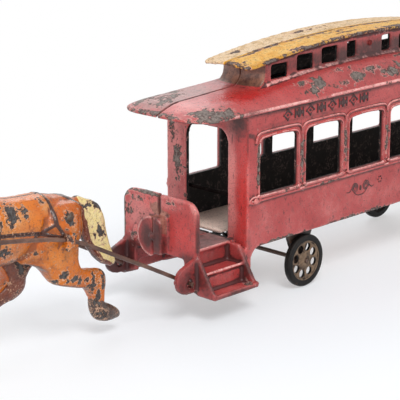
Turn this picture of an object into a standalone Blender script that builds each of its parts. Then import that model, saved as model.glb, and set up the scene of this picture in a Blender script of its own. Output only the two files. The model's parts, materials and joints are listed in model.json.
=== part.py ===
# Cast iron toy street car with one galloping horse, built as its separate castings, rods and wheels.
# Metres, +Z up. +X runs to the rear of the car, the horse is at -X, and the near side is -Y.
import math

import bmesh
import bpy
from mathutils import Matrix, Vector
from mathutils.geometry import delaunay_2d_cdt

mm = 0.001

# Clearances
GAP = 0.3 * mm
RUN = 0.1 * mm

# Car body
CABIN_LENGTH = 174.8 * mm
BODY_WIDTH = 44.6 * mm
WALL = 2.4 * mm
SILL_Z = 23.5 * mm
WINDOW_SILL_Z = 44.3 * mm
WINDOW_HEIGHT = 23.0 * mm
WINDOW_CORNER = 3.7 * mm
WINDOW_CROWN = 1.0 * mm
WINDOW_COUNT = 6
CORNER_POST = 6.9 * mm
WINDOW_POST = 4.6 * mm
BELT_PROUD = 0.7 * mm
BELT_HEIGHT = 1.6 * mm
EAVE_Z = 78.6 * mm
BULKHEAD = 2.2 * mm
DOOR_WIDTH = 22.8 * mm
DOOR_HEIGHT = 42.5 * mm
DOOR_CORNER = 4.0 * mm

# Lower roof with its two hoods
HOOD_REACH = 27.1 * mm
EAVE_OVERHANG = 1.1 * mm
HOOD_CORNER = 11.0 * mm
ROOF_SHELL = 1.9 * mm
HOOD_TAPER = 0.42
ROOF_RISE = 9.4 * mm
ROOF_CAMBER = 4.0 * mm

# Clerestory and upper roof
CLERESTORY_LENGTH = 136.0 * mm
CLERESTORY_BOW = 2.5 * mm
CLERESTORY_WIDTH = 23.4 * mm
CLERESTORY_WALL = 1.8 * mm
COVE_REACH = 6.4 * mm
COVE_RISE = 6.0 * mm
UPPER_OVERHANG_END = 9.0 * mm
UPPER_OVERHANG_SIDE = 1.4 * mm
UPPER_CORNER = 4.5 * mm
UPPER_TOP_Z = 99.5 * mm
UPPER_CAMBER = 5.4 * mm
UPPER_CROWN = 1.2 * mm
UPPER_SHELL = 1.3 * mm
LIGHT_WIDTH = 10.2 * mm
NARROW_LIGHT_WIDTH = 6.2 * mm
LIGHT_CENTRES = (57.4 * mm, 41.6 * mm, 26.0 * mm)
NARROW_LIGHT_CENTRE = 11.7 * mm
LIGHT_SILL = 1.3 * mm
LIGHT_HEAD = 2.1 * mm

# Platforms, steps and dashes
PLATFORM_LENGTH = 26.2 * mm
PLATFORM_Z = 26.0 * mm
PLATFORM_THICK = 2.0 * mm
STEP_RUN = 7.8 * mm
STEP_RISE = 7.1 * mm
STEP_PLATE = 1.4 * mm
STEP_INSET = 14.7 * mm
STEP_CHEEK = 1.8 * mm
STEP_SHORT = 1.4 * mm
DASH_WIDTH = 40.6 * mm
DASH_TOP_Z = 47.2 * mm
DASH_THICK = 1.8 * mm
DASH_CORNER = 6.0 * mm
DRUM_RADIUS = 7.5 * mm
DRUM_REACH = 4.2 * mm
DRUM_Z = 31.0 * mm
EAR_THICK = 2.2 * mm
EAR_OUTER_Y = 20.6 * mm
EAR_HOLE_Z = 16.4 * mm
EAR_HOLE_REACH = 30.0 * mm
EAR_HOLE_RADIUS = 1.6 * mm
EAR_RADIUS = 5.6 * mm
EAR_CENTRE_OFFSET = 1.4 * mm
LEG_BACK = 2.3 * mm
LEG_FILLET = 5.0 * mm
LEG_FOOT_Z = 14.4 * mm
DASH_FOOT_DROP = 4.0 * mm
DASH_FOOT_TOE = 5.4 * mm
DASH_FOOT_HEEL = 8.0 * mm
DASH_FOOT_RISE = 1.5 * mm

# Floor plate, tie rods and rivets
FLOOR_THICK = 1.5 * mm
FLOOR_TOP_Z = 27.6 * mm
FLOOR_NOTCH = 7.0 * mm
FLOOR_NOTCH_Y = 5.5 * mm
LEDGE = 1.6 * mm
LEDGE_LENGTH = 8.0 * mm
TIE_ROD_RADIUS = 0.8 * mm
TIE_ROD_INSET = 3.9 * mm
TIE_ROD_Z = 42.8 * mm
TIE_ROD_HEAD_RADIUS = 1.4 * mm
TIE_ROD_HEAD = 0.6 * mm
RIVET_HEAD_RADIUS = 2.1 * mm
RIVET_HEAD = 0.8 * mm
BOSS_RADIUS = 2.9 * mm
BOSS_DEPTH = 3.0 * mm

# Running gear
WHEEL_RADIUS = 11.0 * mm
WHEEL_TO_SILL = 1.5 * mm
WHEEL_WIDTH = 2.8 * mm
WHEEL_WEB = 1.2 * mm
WHEEL_RIM = 2.6 * mm
WHEEL_HUB_RADIUS = 2.9 * mm
WHEEL_HOLES = 8
WHEEL_HOLE_RADIUS = 1.7 * mm
AXLE_RADIUS = 0.9 * mm
AXLE_SPACING = 102.7 * mm
AXLE_END = 0.6 * mm
PEDESTAL_THICK = 1.8 * mm
PEDESTAL_TOP = 18.4 * mm
PEDESTAL_BOX = 3.2 * mm
BOLSTER_WIDTH = 9.0 * mm
BOLSTER_THICK = 1.6 * mm
TRUCK_RIVET_RADIUS = 1.4 * mm
TRUCK_RIVET_HEAD_RADIUS = 2.5 * mm
COUNTERSINK_RADIUS = 2.4 * mm
COUNTERSINK_DEPTH = 0.65 * mm
COUNTERSINK_ROOM = 0.5 * mm
RIVET_BELOW_FLOOR = 0.05 * mm

# Shafts
SHAFT_RADIUS = 0.85 * mm
SHAFT_AT_EAR_Y = 17.1 * mm
SHAFT_AT_FLANK_Y = 13.2 * mm
SHAFT_CLEARANCE = 0.3 * mm

# Horse
HORSE_BODY_BULK = 11.3 * mm
HORSE_LEG_MID = 5.2 * mm
HORSE_LEG_BULK = 3.6 * mm
HORSE_SHELL = 2.6 * mm
HORSE_EDGE = 1.1 * mm
HORSE_ROUNDING = 8.0 * mm
HORSE_GRID = 4.6 * mm
HORSE_RIVET_RADIUS = 1.1 * mm
HORSE_WHEEL_RADIUS = 7.0 * mm
HORSE_WHEEL_WIDTH = 2.6 * mm
HORSE_WHEEL_RIM = 1.8 * mm
HORSE_WHEEL_WEB = 1.1 * mm
HORSE_WHEEL_HUB_RADIUS = 2.2 * mm
HORSE_PIN_RADIUS = 1.0 * mm
EYELET_HALF = 1.8 * mm
EYELET_RISE = 2.4 * mm
EYELET_WALL = 1.5 * mm
EYELET_ROOT_Y = 8.5 * mm

# The team's outlines are drawn with the ear hole at TEAM_EAR_X, and move with it
TEAM_EAR_X = 117.4 * mm
TEAM_NOSE_X = 244.5 * mm
TEAM_FLANK_X = 168.0 * mm

# Sizes that follow from the ones above
CABIN_HALF = CABIN_LENGTH / 2
BODY_HALF = BODY_WIDTH / 2
INNER_Y = BODY_HALF - WALL
HOOD_HALF = CABIN_HALF + HOOD_REACH
EAVE_Y = BODY_HALF + EAVE_OVERHANG
CLERESTORY_HALF = CLERESTORY_LENGTH / 2
CLERESTORY_Y = CLERESTORY_WIDTH / 2
UPPER_HALF = CLERESTORY_HALF + UPPER_OVERHANG_END
UPPER_Y = CLERESTORY_Y + UPPER_OVERHANG_SIDE
DASH_FACE = CABIN_HALF + PLATFORM_LENGTH
WINDOW_PITCH = (CABIN_LENGTH - 2 * CORNER_POST + WINDOW_POST) / WINDOW_COUNT
WINDOW_WIDTH = WINDOW_PITCH - WINDOW_POST
AXLE_X = AXLE_SPACING / 2
WHEEL_OUTER_Y = BODY_HALF
EAR_HOLE_X = CABIN_HALF + EAR_HOLE_REACH
EAR_TIP_X = EAR_HOLE_X + EAR_CENTRE_OFFSET + EAR_RADIUS
NOSE_X = TEAM_NOSE_X + EAR_HOLE_X - TEAM_EAR_X
CAR_X = (NOSE_X - EAR_TIP_X) / 2
SEAM = GAP / 2

# The body's heights above are drawn for these wheels; on others the whole body stands higher or lower
BODY_LIFT = 2 * WHEEL_RADIUS + WHEEL_TO_SILL - SILL_Z
FLOOR_STANDS_Z = FLOOR_TOP_Z + BODY_LIFT
EAR_STANDS_Z = EAR_HOLE_Z + BODY_LIFT


for old in list(bpy.data.objects):
    bpy.data.objects.remove(old, do_unlink=True)


def material(name, colour, roughness, metallic):
    finish = bpy.data.materials.new(name)
    finish.use_nodes = True
    shader = finish.node_tree.nodes["Principled BSDF"]
    shader.inputs["Base Color"].default_value = (*colour, 1.0)
    shader.inputs["Roughness"].default_value = roughness
    shader.inputs["Metallic"].default_value = metallic
    finish.diffuse_color = (*colour, 1.0)
    return finish


RED = material("red_paint_on_iron", (0.50, 0.10, 0.10), 0.55, 0.1)
ORANGE = material("orange_paint_on_iron", (0.72, 0.22, 0.03), 0.5, 0.1)
IRON = material("bare_iron", (0.11, 0.095, 0.085), 0.6, 0.7)
FLOOR_IRON = material("worn_floor_iron", (0.20, 0.15, 0.12), 0.7, 0.4)
WIRE = material("dark_wire", (0.14, 0.08, 0.06), 0.5, 0.6)


def add_object(name, bm):
    bmesh.ops.remove_doubles(bm, verts=bm.verts, dist=0.002 * mm)
    bmesh.ops.recalc_face_normals(bm, faces=bm.faces)
    mesh = bpy.data.meshes.new(name)
    bm.to_mesh(mesh)
    bm.free()
    item = bpy.data.objects.new(name, mesh)
    bpy.context.scene.collection.objects.link(item)
    return item


def block(low, high):
    bm = bmesh.new()
    bmesh.ops.create_cube(bm, size=1.0)
    size = Vector(high) - Vector(low)
    centre = (Vector(high) + Vector(low)) / 2
    bmesh.ops.scale(bm, vec=size, verts=bm.verts)
    bmesh.ops.translate(bm, vec=centre, verts=bm.verts)
    return add_object("block", bm)


def prism(outline, axis, start, end):
    # An outline of (a, b) points, closed and extruded from start to end along one axis.
    def place(a, b, c):
        if axis == "x":
            return (c, a, b)
        if axis == "y":
            return (a, c, b)
        return (a, b, c)
    bm = bmesh.new()
    near = [bm.verts.new(place(a, b, start)) for a, b in outline]
    far = [bm.verts.new(place(a, b, end)) for a, b in outline]
    bm.faces.new(near)
    bm.faces.new(far[::-1])
    for i in range(len(outline)):
        j = (i + 1) % len(outline)
        bm.faces.new((near[i], far[i], far[j], near[j]))
    bmesh.ops.triangulate(bm, faces=[f for f in bm.faces if len(f.verts) > 4])
    return add_object("prism", bm)


def arc(centre, radius, start, end, steps):
    points = []
    for i in range(steps + 1):
        angle = math.radians(start + (end - start) * i / steps)
        points.append((centre[0] + radius * math.cos(angle), centre[1] + radius * math.sin(angle)))
    return points


def round_bar(axis, centre, radius, start, end, sides=16):
    # A straight round bar; centre gives the other two coordinates in X, Y, Z order.
    offset = 180.0 / sides
    outline = arc(centre, radius, offset, 360.0 + offset, sides)[:-1]
    return prism(outline, axis, start, end)


def turned(profile, sides=28):
    # A profile of (radius, y) points turned about the Y axis; a radius of zero is a pole.
    bm = bmesh.new()
    rings = []
    for radius, y in profile:
        if radius == 0:
            rings.append([bm.verts.new((0, y, 0))])
            continue
        ring = []
        for i in range(sides):
            angle = 2 * math.pi * i / sides
            ring.append(bm.verts.new((radius * math.cos(angle), y, radius * math.sin(angle))))
        rings.append(ring)
    closed = profile[0][0] != 0
    count = len(rings) if closed else len(rings) - 1
    for k in range(count):
        first, second = rings[k], rings[(k + 1) % len(rings)]
        for i in range(sides):
            j = (i + 1) % sides
            corners = [first[i % len(first)], first[j % len(first)]]
            corners += [second[j % len(second)], second[i % len(second)]]
            unique = list(dict.fromkeys(corners))
            if len(unique) > 2:
                bm.faces.new(unique)
    return add_object("turned", bm)


def sheet_solid(columns, rows, top, bottom):
    # A closed slab between two surfaces given as functions of grid indices.
    bm = bmesh.new()
    upper = [[bm.verts.new(top(i, j)) for j in range(rows)] for i in range(columns)]
    lower = [[bm.verts.new(bottom(i, j)) for j in range(rows)] for i in range(columns)]
    for i in range(columns - 1):
        for j in range(rows - 1):
            bm.faces.new((upper[i][j], upper[i + 1][j], upper[i + 1][j + 1], upper[i][j + 1]))
            bm.faces.new((lower[i][j], lower[i][j + 1], lower[i + 1][j + 1], lower[i + 1][j]))
    rim = [(i, 0) for i in range(columns)]
    rim += [(columns - 1, j) for j in range(1, rows)]
    rim += [(i, rows - 1) for i in range(columns - 2, -1, -1)]
    rim += [(0, j) for j in range(rows - 2, 0, -1)]
    for k, (i, j) in enumerate(rim):
        m, n = rim[(k + 1) % len(rim)]
        bm.faces.new((upper[i][j], lower[i][j], lower[m][n], upper[m][n]))
    return add_object("sheet", bm)


def loft(sections):
    # A closed solid through a run of outlines that have the same number of points.
    bm = bmesh.new()
    rings = [[bm.verts.new(point) for point in section] for section in sections]
    count = len(rings[0])
    for first, second in zip(rings, rings[1:]):
        for k in range(count):
            n = (k + 1) % count
            bm.faces.new((first[k], first[n], second[n], second[k]))
    bm.faces.new(rings[0][::-1])
    bm.faces.new(rings[-1])
    bmesh.ops.triangulate(bm, faces=bm.faces)
    return add_object("loft", bm)


def tube(path, radius, sides=8):
    # A solid round wire along a smooth run of points.
    points = [Vector(p) for p in path]
    rings = []
    side = Vector((0, 0, 1))
    for i, point in enumerate(points):
        ahead = points[min(i + 1, len(points) - 1)] - points[max(i - 1, 0)]
        ahead.normalize()
        side = (side - side.dot(ahead) * ahead).normalized()
        up = ahead.cross(side)
        ring = []
        for k in range(sides):
            angle = 2 * math.pi * k / sides
            ring.append(point + radius * (math.cos(angle) * side + math.sin(angle) * up))
        rings.append(ring)
    return loft(rings)


def combine(target, others, operation):
    # Cast pieces share many planes, where only the manifold solver keeps the result closed.
    for other in others:
        modifier = target.modifiers.new("combine", "BOOLEAN")
        modifier.operation = operation
        modifier.solver = "MANIFOLD"
        modifier.object = other
        depsgraph = bpy.context.evaluated_depsgraph_get()
        mesh = bpy.data.meshes.new_from_object(target.evaluated_get(depsgraph))
        target.modifiers.clear()
        target.data = mesh
        bpy.data.objects.remove(other, do_unlink=True)
    return target


def clean(item, name, finish):
    # Give a finished piece its name, its finish and plain triangles.
    bm = bmesh.new()
    bm.from_mesh(item.data)
    bmesh.ops.triangulate(bm, faces=bm.faces)
    bm.to_mesh(item.data)
    bm.free()
    item.data.materials.clear()
    item.data.materials.append(finish)
    item.name = name
    item.data.name = name
    return item


def smooth_path(points, steps):
    # A Catmull-Rom curve through hand-placed points.
    result = []
    padded = [points[0], *points, points[-1]]
    for k in range(1, len(padded) - 2):
        p0, p1, p2, p3 = (Vector(p) for p in padded[k - 1:k + 3])
        for i in range(steps):
            t = i / steps
            value = 2 * p1 + (p2 - p0) * t
            value += (2 * p0 - 5 * p1 + 4 * p2 - p3) * t * t
            value += (3 * p1 - p0 - 3 * p2 + p3) * t * t * t
            result.append(value / 2)
    result.append(Vector(points[-1]))
    return result


# Roof surfaces

def rounded_half_width(x, half_length, half_width, corner):
    # Half width in plan of a plate with rounded corners, at a distance x from its middle.
    past = abs(x) - (half_length - corner)
    if past <= 0:
        return half_width
    return half_width - corner + math.sqrt(max(corner * corner - past * past, 0))


def plan_depth(x, y, half_length, half_width, corner):
    # Distance inward from the plan outline of a plate with rounded corners.
    past_x = abs(x) - (half_length - corner)
    past_y = abs(y) - (half_width - corner)
    outside = math.hypot(max(past_x, 0), max(past_y, 0)) + min(max(past_x, past_y), 0)
    return corner - outside


def lower_roof_z(x, y):
    run = EAVE_Y - CLERESTORY_Y
    depth = max(plan_depth(x, y, HOOD_HALF, EAVE_Y, HOOD_CORNER), 0)
    rise = ROOF_RISE - ROOF_CAMBER * min(abs(x) / CLERESTORY_HALF, 1.0) ** 2
    if abs(x) > CLERESTORY_HALF:
        rise -= 2.6 * mm * (abs(x) - CLERESTORY_HALF) / (HOOD_HALF - CLERESTORY_HALF)
    slope = min(depth / run, 1.0)
    return EAVE_Z + rise * math.sin(slope * math.pi / 2)


def upper_roof_z(x, y):
    along = (x / UPPER_HALF) ** 2
    crown = UPPER_CROWN * along * (y / UPPER_Y) ** 2
    return UPPER_TOP_Z - UPPER_CAMBER * along - crown


def lower_roof_thickness(x, y):
    # The hoods grow thinner towards their free edge.
    past = max(abs(x) - CABIN_HALF - BULKHEAD, 0) / (HOOD_REACH - BULKHEAD)
    return ROOF_SHELL * (1 - HOOD_TAPER * past)


def upper_roof_thickness(x, y):
    return UPPER_SHELL


def stations(half, corner, middle):
    # Places along a roof, closer together where its corners turn.
    inner = [(-1 + 2 * i / middle) * (half - corner) for i in range(middle + 1)]
    turn = [half - corner + corner * math.sin(math.radians(a)) for a in (20, 40, 60, 78, 90)]
    return [-x for x in turn[::-1]] + inner + turn


def roof_slab(half_length, half_width, corner, middle, rows, surface, thickness):
    xs = stations(half_length, corner, middle)

    def point(i, j, below):
        x = xs[i]
        outer = rounded_half_width(x, half_length, half_width, corner)
        y = -outer + (outer - SEAM) * j / (rows - 1)
        return (x, y, surface(x, y) - below * thickness(x, y))
    return sheet_solid(len(xs), rows, lambda i, j: point(i, j, 0), lambda i, j: point(i, j, 1))


# Side casting

def window_outline(centre_x):
    half = WINDOW_WIDTH / 2
    top = WINDOW_SILL_Z + WINDOW_HEIGHT - WINDOW_CROWN
    left, right = centre_x - half, centre_x + half
    outline = [(left, WINDOW_SILL_Z), (right, WINDOW_SILL_Z)]
    outline += arc((right - WINDOW_CORNER, top - WINDOW_CORNER), WINDOW_CORNER, 0, 72, 4)
    outline.append((centre_x, top + WINDOW_CROWN))
    outline += arc((left + WINDOW_CORNER, top - WINDOW_CORNER), WINDOW_CORNER, 108, 180, 4)
    return outline


def side_wall():
    wall = block((-CABIN_HALF, -BODY_HALF, SILL_Z), (CABIN_HALF, -INNER_Y, EAVE_Z - 0.2 * mm))
    belt = block((-CABIN_HALF, -BODY_HALF - BELT_PROUD, WINDOW_SILL_Z - BELT_HEIGHT - 1.0 * mm),
                 (CABIN_HALF, -INNER_Y - 0.5 * mm, WINDOW_SILL_Z - 1.0 * mm))
    combine(wall, [belt], "UNION")
    first = -CABIN_HALF + CORNER_POST + WINDOW_WIDTH / 2
    for i in range(WINDOW_COUNT):
        cutter = prism(window_outline(first + i * WINDOW_PITCH), "y", -BODY_HALF - 5 * mm, 0)
        combine(wall, [cutter], "DIFFERENCE")
    return wall


def bulkhead(end):
    inner = CABIN_HALF - BULKHEAD
    low_x, high_x = sorted((end * inner, end * CABIN_HALF))
    rows = 6
    outer_y = BODY_HALF - 0.4 * mm
    ys = [-outer_y + (outer_y - SEAM) * k / rows for k in range(rows + 1)]
    outline = [(y, lower_roof_z(CABIN_HALF, y) - ROOF_SHELL * 0.6) for y in ys]
    outline += [(-SEAM, PLATFORM_Z - PLATFORM_THICK), (-outer_y, PLATFORM_Z - PLATFORM_THICK)]
    plate = prism(outline, "x", low_x, high_x)
    top = FLOOR_TOP_Z + DOOR_HEIGHT
    side = -DOOR_WIDTH / 2
    door = [(5 * mm, PLATFORM_Z), (5 * mm, top), (side + DOOR_CORNER, top)]
    door += arc((side + DOOR_CORNER, top - DOOR_CORNER), DOOR_CORNER, 90, 180, 5)[1:]
    door.append((side, PLATFORM_Z))
    combine(plate, [prism(door, "x", low_x - mm, high_x + mm)], "DIFFERENCE")
    return plate


def light_cutter(centre_x, width):
    # One clerestory light, its sill and head following the two roofs.
    low = lower_roof_z(centre_x, CLERESTORY_Y) + LIGHT_SILL
    high = upper_roof_z(centre_x, UPPER_Y) - UPPER_SHELL - LIGHT_HEAD
    half = width / 2
    round_off = 1.6 * mm
    outline = [(centre_x - half, low), (centre_x + half, low)]
    outline += arc((centre_x + half - round_off, high - round_off), round_off, 0, 90, 3)
    outline += arc((centre_x - half + round_off, high - round_off), round_off, 90, 180, 3)
    return prism(outline, "y", -CLERESTORY_Y - 3 * mm, -CLERESTORY_Y + CLERESTORY_WALL + 2 * mm)


def clerestory_end(end):
    # The end wall is bowed in plan and sweeps out into the roof in a hollow curve.
    rows = 6
    outer_y = CLERESTORY_Y - 0.3 * mm
    sections = []
    for k in range(rows + 1):
        y = -outer_y + (outer_y - SEAM) * k / rows
        outer = CLERESTORY_HALF - CLERESTORY_BOW * (y / CLERESTORY_Y) ** 2
        inner = CLERESTORY_HALF - CLERESTORY_BOW - CLERESTORY_WALL
        base = lower_roof_z(outer, 0) - 1.4 * mm
        foot = lower_roof_z(outer + COVE_REACH, 0) - 1.4 * mm
        top = upper_roof_z(outer, 0) - 0.8 * mm
        profile = [(inner, base), (inner, top), (outer, top), (outer, base + COVE_RISE)]
        profile.append((outer + 0.18 * COVE_REACH, base + 0.55 * COVE_RISE))
        profile.append((outer + 0.48 * COVE_REACH, base + 0.30 * COVE_RISE))
        profile += [(outer + COVE_REACH, foot + 0.5 * mm), (outer + COVE_REACH, foot)]
        sections.append([(end * x, y, z) for x, z in profile])
    return loft(sections)


def clerestory():
    steps = 16
    reach = CLERESTORY_HALF - CLERESTORY_BOW - 0.2 * mm
    xs = [(-1 + 2 * i / steps) * reach for i in range(steps + 1)]
    outline = [(x, lower_roof_z(x, CLERESTORY_Y) - 1.6 * mm) for x in xs]
    outline += [(x, upper_roof_z(x, CLERESTORY_Y) - 0.8 * mm) for x in xs[::-1]]
    wall = prism(outline, "y", -CLERESTORY_Y, -CLERESTORY_Y + CLERESTORY_WALL)
    combine(wall, [clerestory_end(-1), clerestory_end(1)], "UNION")
    for side in (-1, 1):
        for centre in LIGHT_CENTRES:
            combine(wall, [light_cutter(side * centre, LIGHT_WIDTH)], "DIFFERENCE")
        combine(wall, [light_cutter(side * NARROW_LIGHT_CENTRE, NARROW_LIGHT_WIDTH)], "DIFFERENCE")
    return wall


def lower_roof():
    slab = roof_slab(HOOD_HALF, EAVE_Y, HOOD_CORNER, 14, 6, lower_roof_z, lower_roof_thickness)
    inset = CLERESTORY_WALL + 0.2 * mm
    reach = CLERESTORY_HALF - CLERESTORY_BOW - inset
    opening = block((-reach, -CLERESTORY_Y + inset, EAVE_Z - 5 * mm), (reach, 5 * mm, UPPER_TOP_Z))
    return combine(slab, [opening], "DIFFERENCE")


def upper_roof():
    return roof_slab(UPPER_HALF, UPPER_Y, UPPER_CORNER, 10, 4, upper_roof_z, upper_roof_thickness)


def steps(end):
    # Stairs as one folded plate between two cheeks, below the platform's edge.
    front = end * (DASH_FACE + 0.3 * mm)
    rear = end * (CABIN_HALF + STEP_SHORT)
    low_x, high_x = sorted((front, rear))
    y0, z0 = -STEP_INSET, PLATFORM_Z
    y1, z1 = y0 - STEP_RUN, z0 - STEP_RISE
    y2, z2 = y1 - STEP_RUN, z1 - STEP_RISE
    t = STEP_PLATE
    outline = [(y0 + t, z0), (y0, z0), (y0, z1), (y1, z1), (y1, z2), (y2, z2), (y2, z2 - t)]
    outline += [(y1 + t, z2 - t), (y1 + t, z1 - t), (y0 + t, z1 - t)]
    stairs = prism(outline, "x", low_x + 0.4 * mm, high_x - 0.4 * mm)
    cheek = [(y2, z2 - t), (y2, z2 + 0.4 * mm), (y2 + 1.6 * mm, z2 + 1.0 * mm)]
    cheek += [(-DASH_WIDTH / 2, PLATFORM_Z), (y0 + t, PLATFORM_Z), (y0 + t, EAR_HOLE_Z - 3 * mm)]
    cheek.append((y1 + t, z2 - t))
    for edge, thick in ((front, -STEP_CHEEK), (rear, STEP_CHEEK)):
        span = sorted((edge, edge + end * thick))
        combine(stairs, [prism(cheek, "x", span[0], span[1])], "UNION")
    return stairs


def platform(end):
    front = end * (DASH_FACE - 0.4 * mm)
    rear = end * (CABIN_HALF - BULKHEAD)
    low_x, high_x = sorted((front, rear))
    return block((low_x, -STEP_INSET - 0.1 * mm, PLATFORM_Z - PLATFORM_THICK), (high_x, -SEAM, PLATFORM_Z))


def corner_leg(end):
    # The corner post runs on below the sill into the step, with a hollow curve at its back.
    back = CABIN_HALF - LEG_BACK
    front = CABIN_HALF + STEP_SHORT + 0.6 * mm
    outline = [(CABIN_HALF, SILL_Z + mm), (front, SILL_Z - mm), (front, LEG_FOOT_Z), (back, LEG_FOOT_Z)]
    outline += arc((back - LEG_FILLET, SILL_Z - LEG_FILLET), LEG_FILLET, 0, 90, 5)
    outline.append((back - LEG_FILLET, SILL_Z + mm))
    outline = [(end * x, z) for x, z in outline]
    return prism(outline, "y", -BODY_HALF, -INNER_Y)


def dash(end):
    half = DASH_WIDTH / 2
    low = PLATFORM_Z - PLATFORM_THICK - 0.4 * mm
    outline = [(-SEAM, DASH_TOP_Z)]
    outline += arc((-half + DASH_CORNER, DASH_TOP_Z - DASH_CORNER), DASH_CORNER, 90, 180, 5)
    outline += [(-half, low - DASH_FOOT_DROP), (-half + DASH_FOOT_TOE, low - DASH_FOOT_RISE)]
    outline += [(-half + DASH_FOOT_HEEL, low), (-SEAM, low)]
    span = sorted((end * (DASH_FACE - DASH_THICK), end * DASH_FACE))
    plate = prism(outline, "x", span[0], span[1])
    rim = [(-SEAM, DRUM_Z - DRUM_RADIUS)] + arc((0, DRUM_Z), DRUM_RADIUS, 262, 98, 10)
    rim.append((-SEAM, DRUM_Z + DRUM_RADIUS))
    rim = [(min(y, -SEAM), z) for y, z in rim]
    face = DASH_FACE + DRUM_REACH
    span = sorted((end * (DASH_FACE - mm), end * face))
    combine(plate, [prism(rim, "x", span[0], span[1])], "UNION")
    return plate


def ear(end):
    # Lug beside the dash with the hole that the shaft's bent end turns in.
    centre = (EAR_HOLE_X + EAR_CENTRE_OFFSET, EAR_HOLE_Z + EAR_CENTRE_OFFSET)
    back = DASH_FACE - 1.2 * mm
    outline = [(back, centre[1] + 8.2 * mm), (back, EAR_HOLE_Z - 4.4 * mm)]
    outline += arc(centre, EAR_RADIUS, -100, 60, 9)
    outline.append((DASH_FACE + 1.2 * mm, centre[1] + 7.4 * mm))
    outline = [(end * x, z) for x, z in outline]
    lug = prism(outline, "y", -EAR_OUTER_Y, -EAR_OUTER_Y + EAR_THICK)
    hole = round_bar("y", (end * EAR_HOLE_X, EAR_HOLE_Z), EAR_HOLE_RADIUS, -EAR_OUTER_Y - mm, -15 * mm)
    return combine(lug, [hole], "DIFFERENCE")


def floor_ledges():
    # Small shelves inside the wall that the floor plate lies on.
    top = FLOOR_TOP_Z - FLOOR_THICK - GAP
    ledges = []
    for spot in (-1, 0, 1):
        middle = spot * (CABIN_HALF - BULKHEAD - LEDGE_LENGTH / 2)
        ledges.append(block((middle - LEDGE_LENGTH / 2, -INNER_Y - 0.5 * mm, top - LEDGE),
                            (middle + LEDGE_LENGTH / 2, -INNER_Y + LEDGE, top)))
    return ledges


def rod_places():
    # Three tie rods hold the two castings together: one by each bulkhead and one in the clerestory.
    rod_x = CABIN_HALF - TIE_ROD_INSET
    roof_z = (lower_roof_z(0, CLERESTORY_Y) + upper_roof_z(0, CLERESTORY_Y)) / 2
    return {
        "front_tie_rod": (-rod_x, TIE_ROD_Z, BODY_HALF + BELT_PROUD, INNER_Y),
        "rear_tie_rod": (rod_x, TIE_ROD_Z, BODY_HALF + BELT_PROUD, INNER_Y),
        "roof_tie_rod": (0.0, roof_z, CLERESTORY_Y, CLERESTORY_Y - CLERESTORY_WALL),
    }


def side_casting():
    casting = side_wall()
    for end in (-1, 1):
        combine(casting, [bulkhead(end), corner_leg(end), platform(end)], "UNION")
        combine(casting, [steps(end), dash(end), ear(end)], "UNION")
    combine(casting, floor_ledges(), "UNION")
    combine(casting, [lower_roof(), clerestory(), upper_roof()], "UNION")
    for x, z, outer, inner in rod_places().values():
        boss = round_bar("y", (x, z), BOSS_RADIUS, -inner - 0.8 * mm, -inner + BOSS_DEPTH, 12)
        combine(casting, [boss], "UNION")
        hole = round_bar("y", (x, z), TIE_ROD_RADIUS + GAP, -outer - 3 * mm, 0, 12)
        combine(casting, [hole], "DIFFERENCE")
    return casting


near_casting = clean(side_casting(), "near_side_casting", RED)
near_casting.location = (CAR_X, 0, BODY_LIFT)
far_casting = bpy.data.objects.new("far_side_casting", near_casting.data.copy())
far_casting.data.transform(Matrix.Rotation(math.pi, 4, "Z"))
far_casting.location = near_casting.location
bpy.context.scene.collection.objects.link(far_casting)


# Tie rods with peened heads

def headed_pin(radius, reach, head_radius, head, sides=12):
    # A pin on the Y axis; reach is half the length between its heads.
    profile = [(0, -reach - head), (head_radius * 0.62, -reach - head * 0.8), (head_radius, -reach)]
    profile += [(radius, -reach), (radius, reach), (head_radius, reach)]
    profile += [(head_radius * 0.62, reach + head * 0.8), (0, reach + head)]
    return turned(profile, sides)


for name, (x, z, outer, inner) in rod_places().items():
    rod = clean(headed_pin(TIE_ROD_RADIUS, outer + GAP, TIE_ROD_HEAD_RADIUS, TIE_ROD_HEAD), name, IRON)
    rod.location = (CAR_X + x, 0, z + BODY_LIFT)


# Floor plate

def countersunk_bar(radius, wide, depth, low, over):
    # A round bar on the Z axis that widens to its full width at z = 0 and may run straight on above it.
    profile = [(0, low), (radius, low), (radius, -depth), (wide, 0), (wide, over), (0, over)]
    bar = turned(profile, 16)
    bar.data.transform(Matrix.Rotation(math.pi / 2, 4, "X"))
    return bar


def floor_plate():
    half_x = CABIN_HALF - BULKHEAD - GAP
    half_y = INNER_Y - GAP
    low = FLOOR_TOP_Z - FLOOR_THICK
    plate = block((-half_x, -half_y, low), (half_x, half_y, FLOOR_TOP_Z))
    for end in (-1, 1):
        x0, x1 = sorted((end * (half_x - FLOOR_NOTCH), end * (half_x + mm)))
        y0, y1 = sorted((end * FLOOR_NOTCH_Y, end * (FLOOR_NOTCH_Y + FLOOR_NOTCH)))
        combine(plate, [block((x0, y0, low - mm), (x1, y1, FLOOR_TOP_Z + mm))], "DIFFERENCE")
        hole = countersunk_bar(TRUCK_RIVET_RADIUS + GAP, COUNTERSINK_RADIUS + COUNTERSINK_ROOM,
                               COUNTERSINK_DEPTH + GAP, -FLOOR_THICK - mm, mm)
        hole.data.transform(Matrix.Translation((end * AXLE_X, 0, FLOOR_TOP_Z)))
        combine(plate, [hole], "DIFFERENCE")
    return plate


floor = clean(floor_plate(), "floor_plate", FLOOR_IRON)
floor.location = (CAR_X, 0, BODY_LIFT)


# Truck frames, which hang the axles under the floor plate

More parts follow.
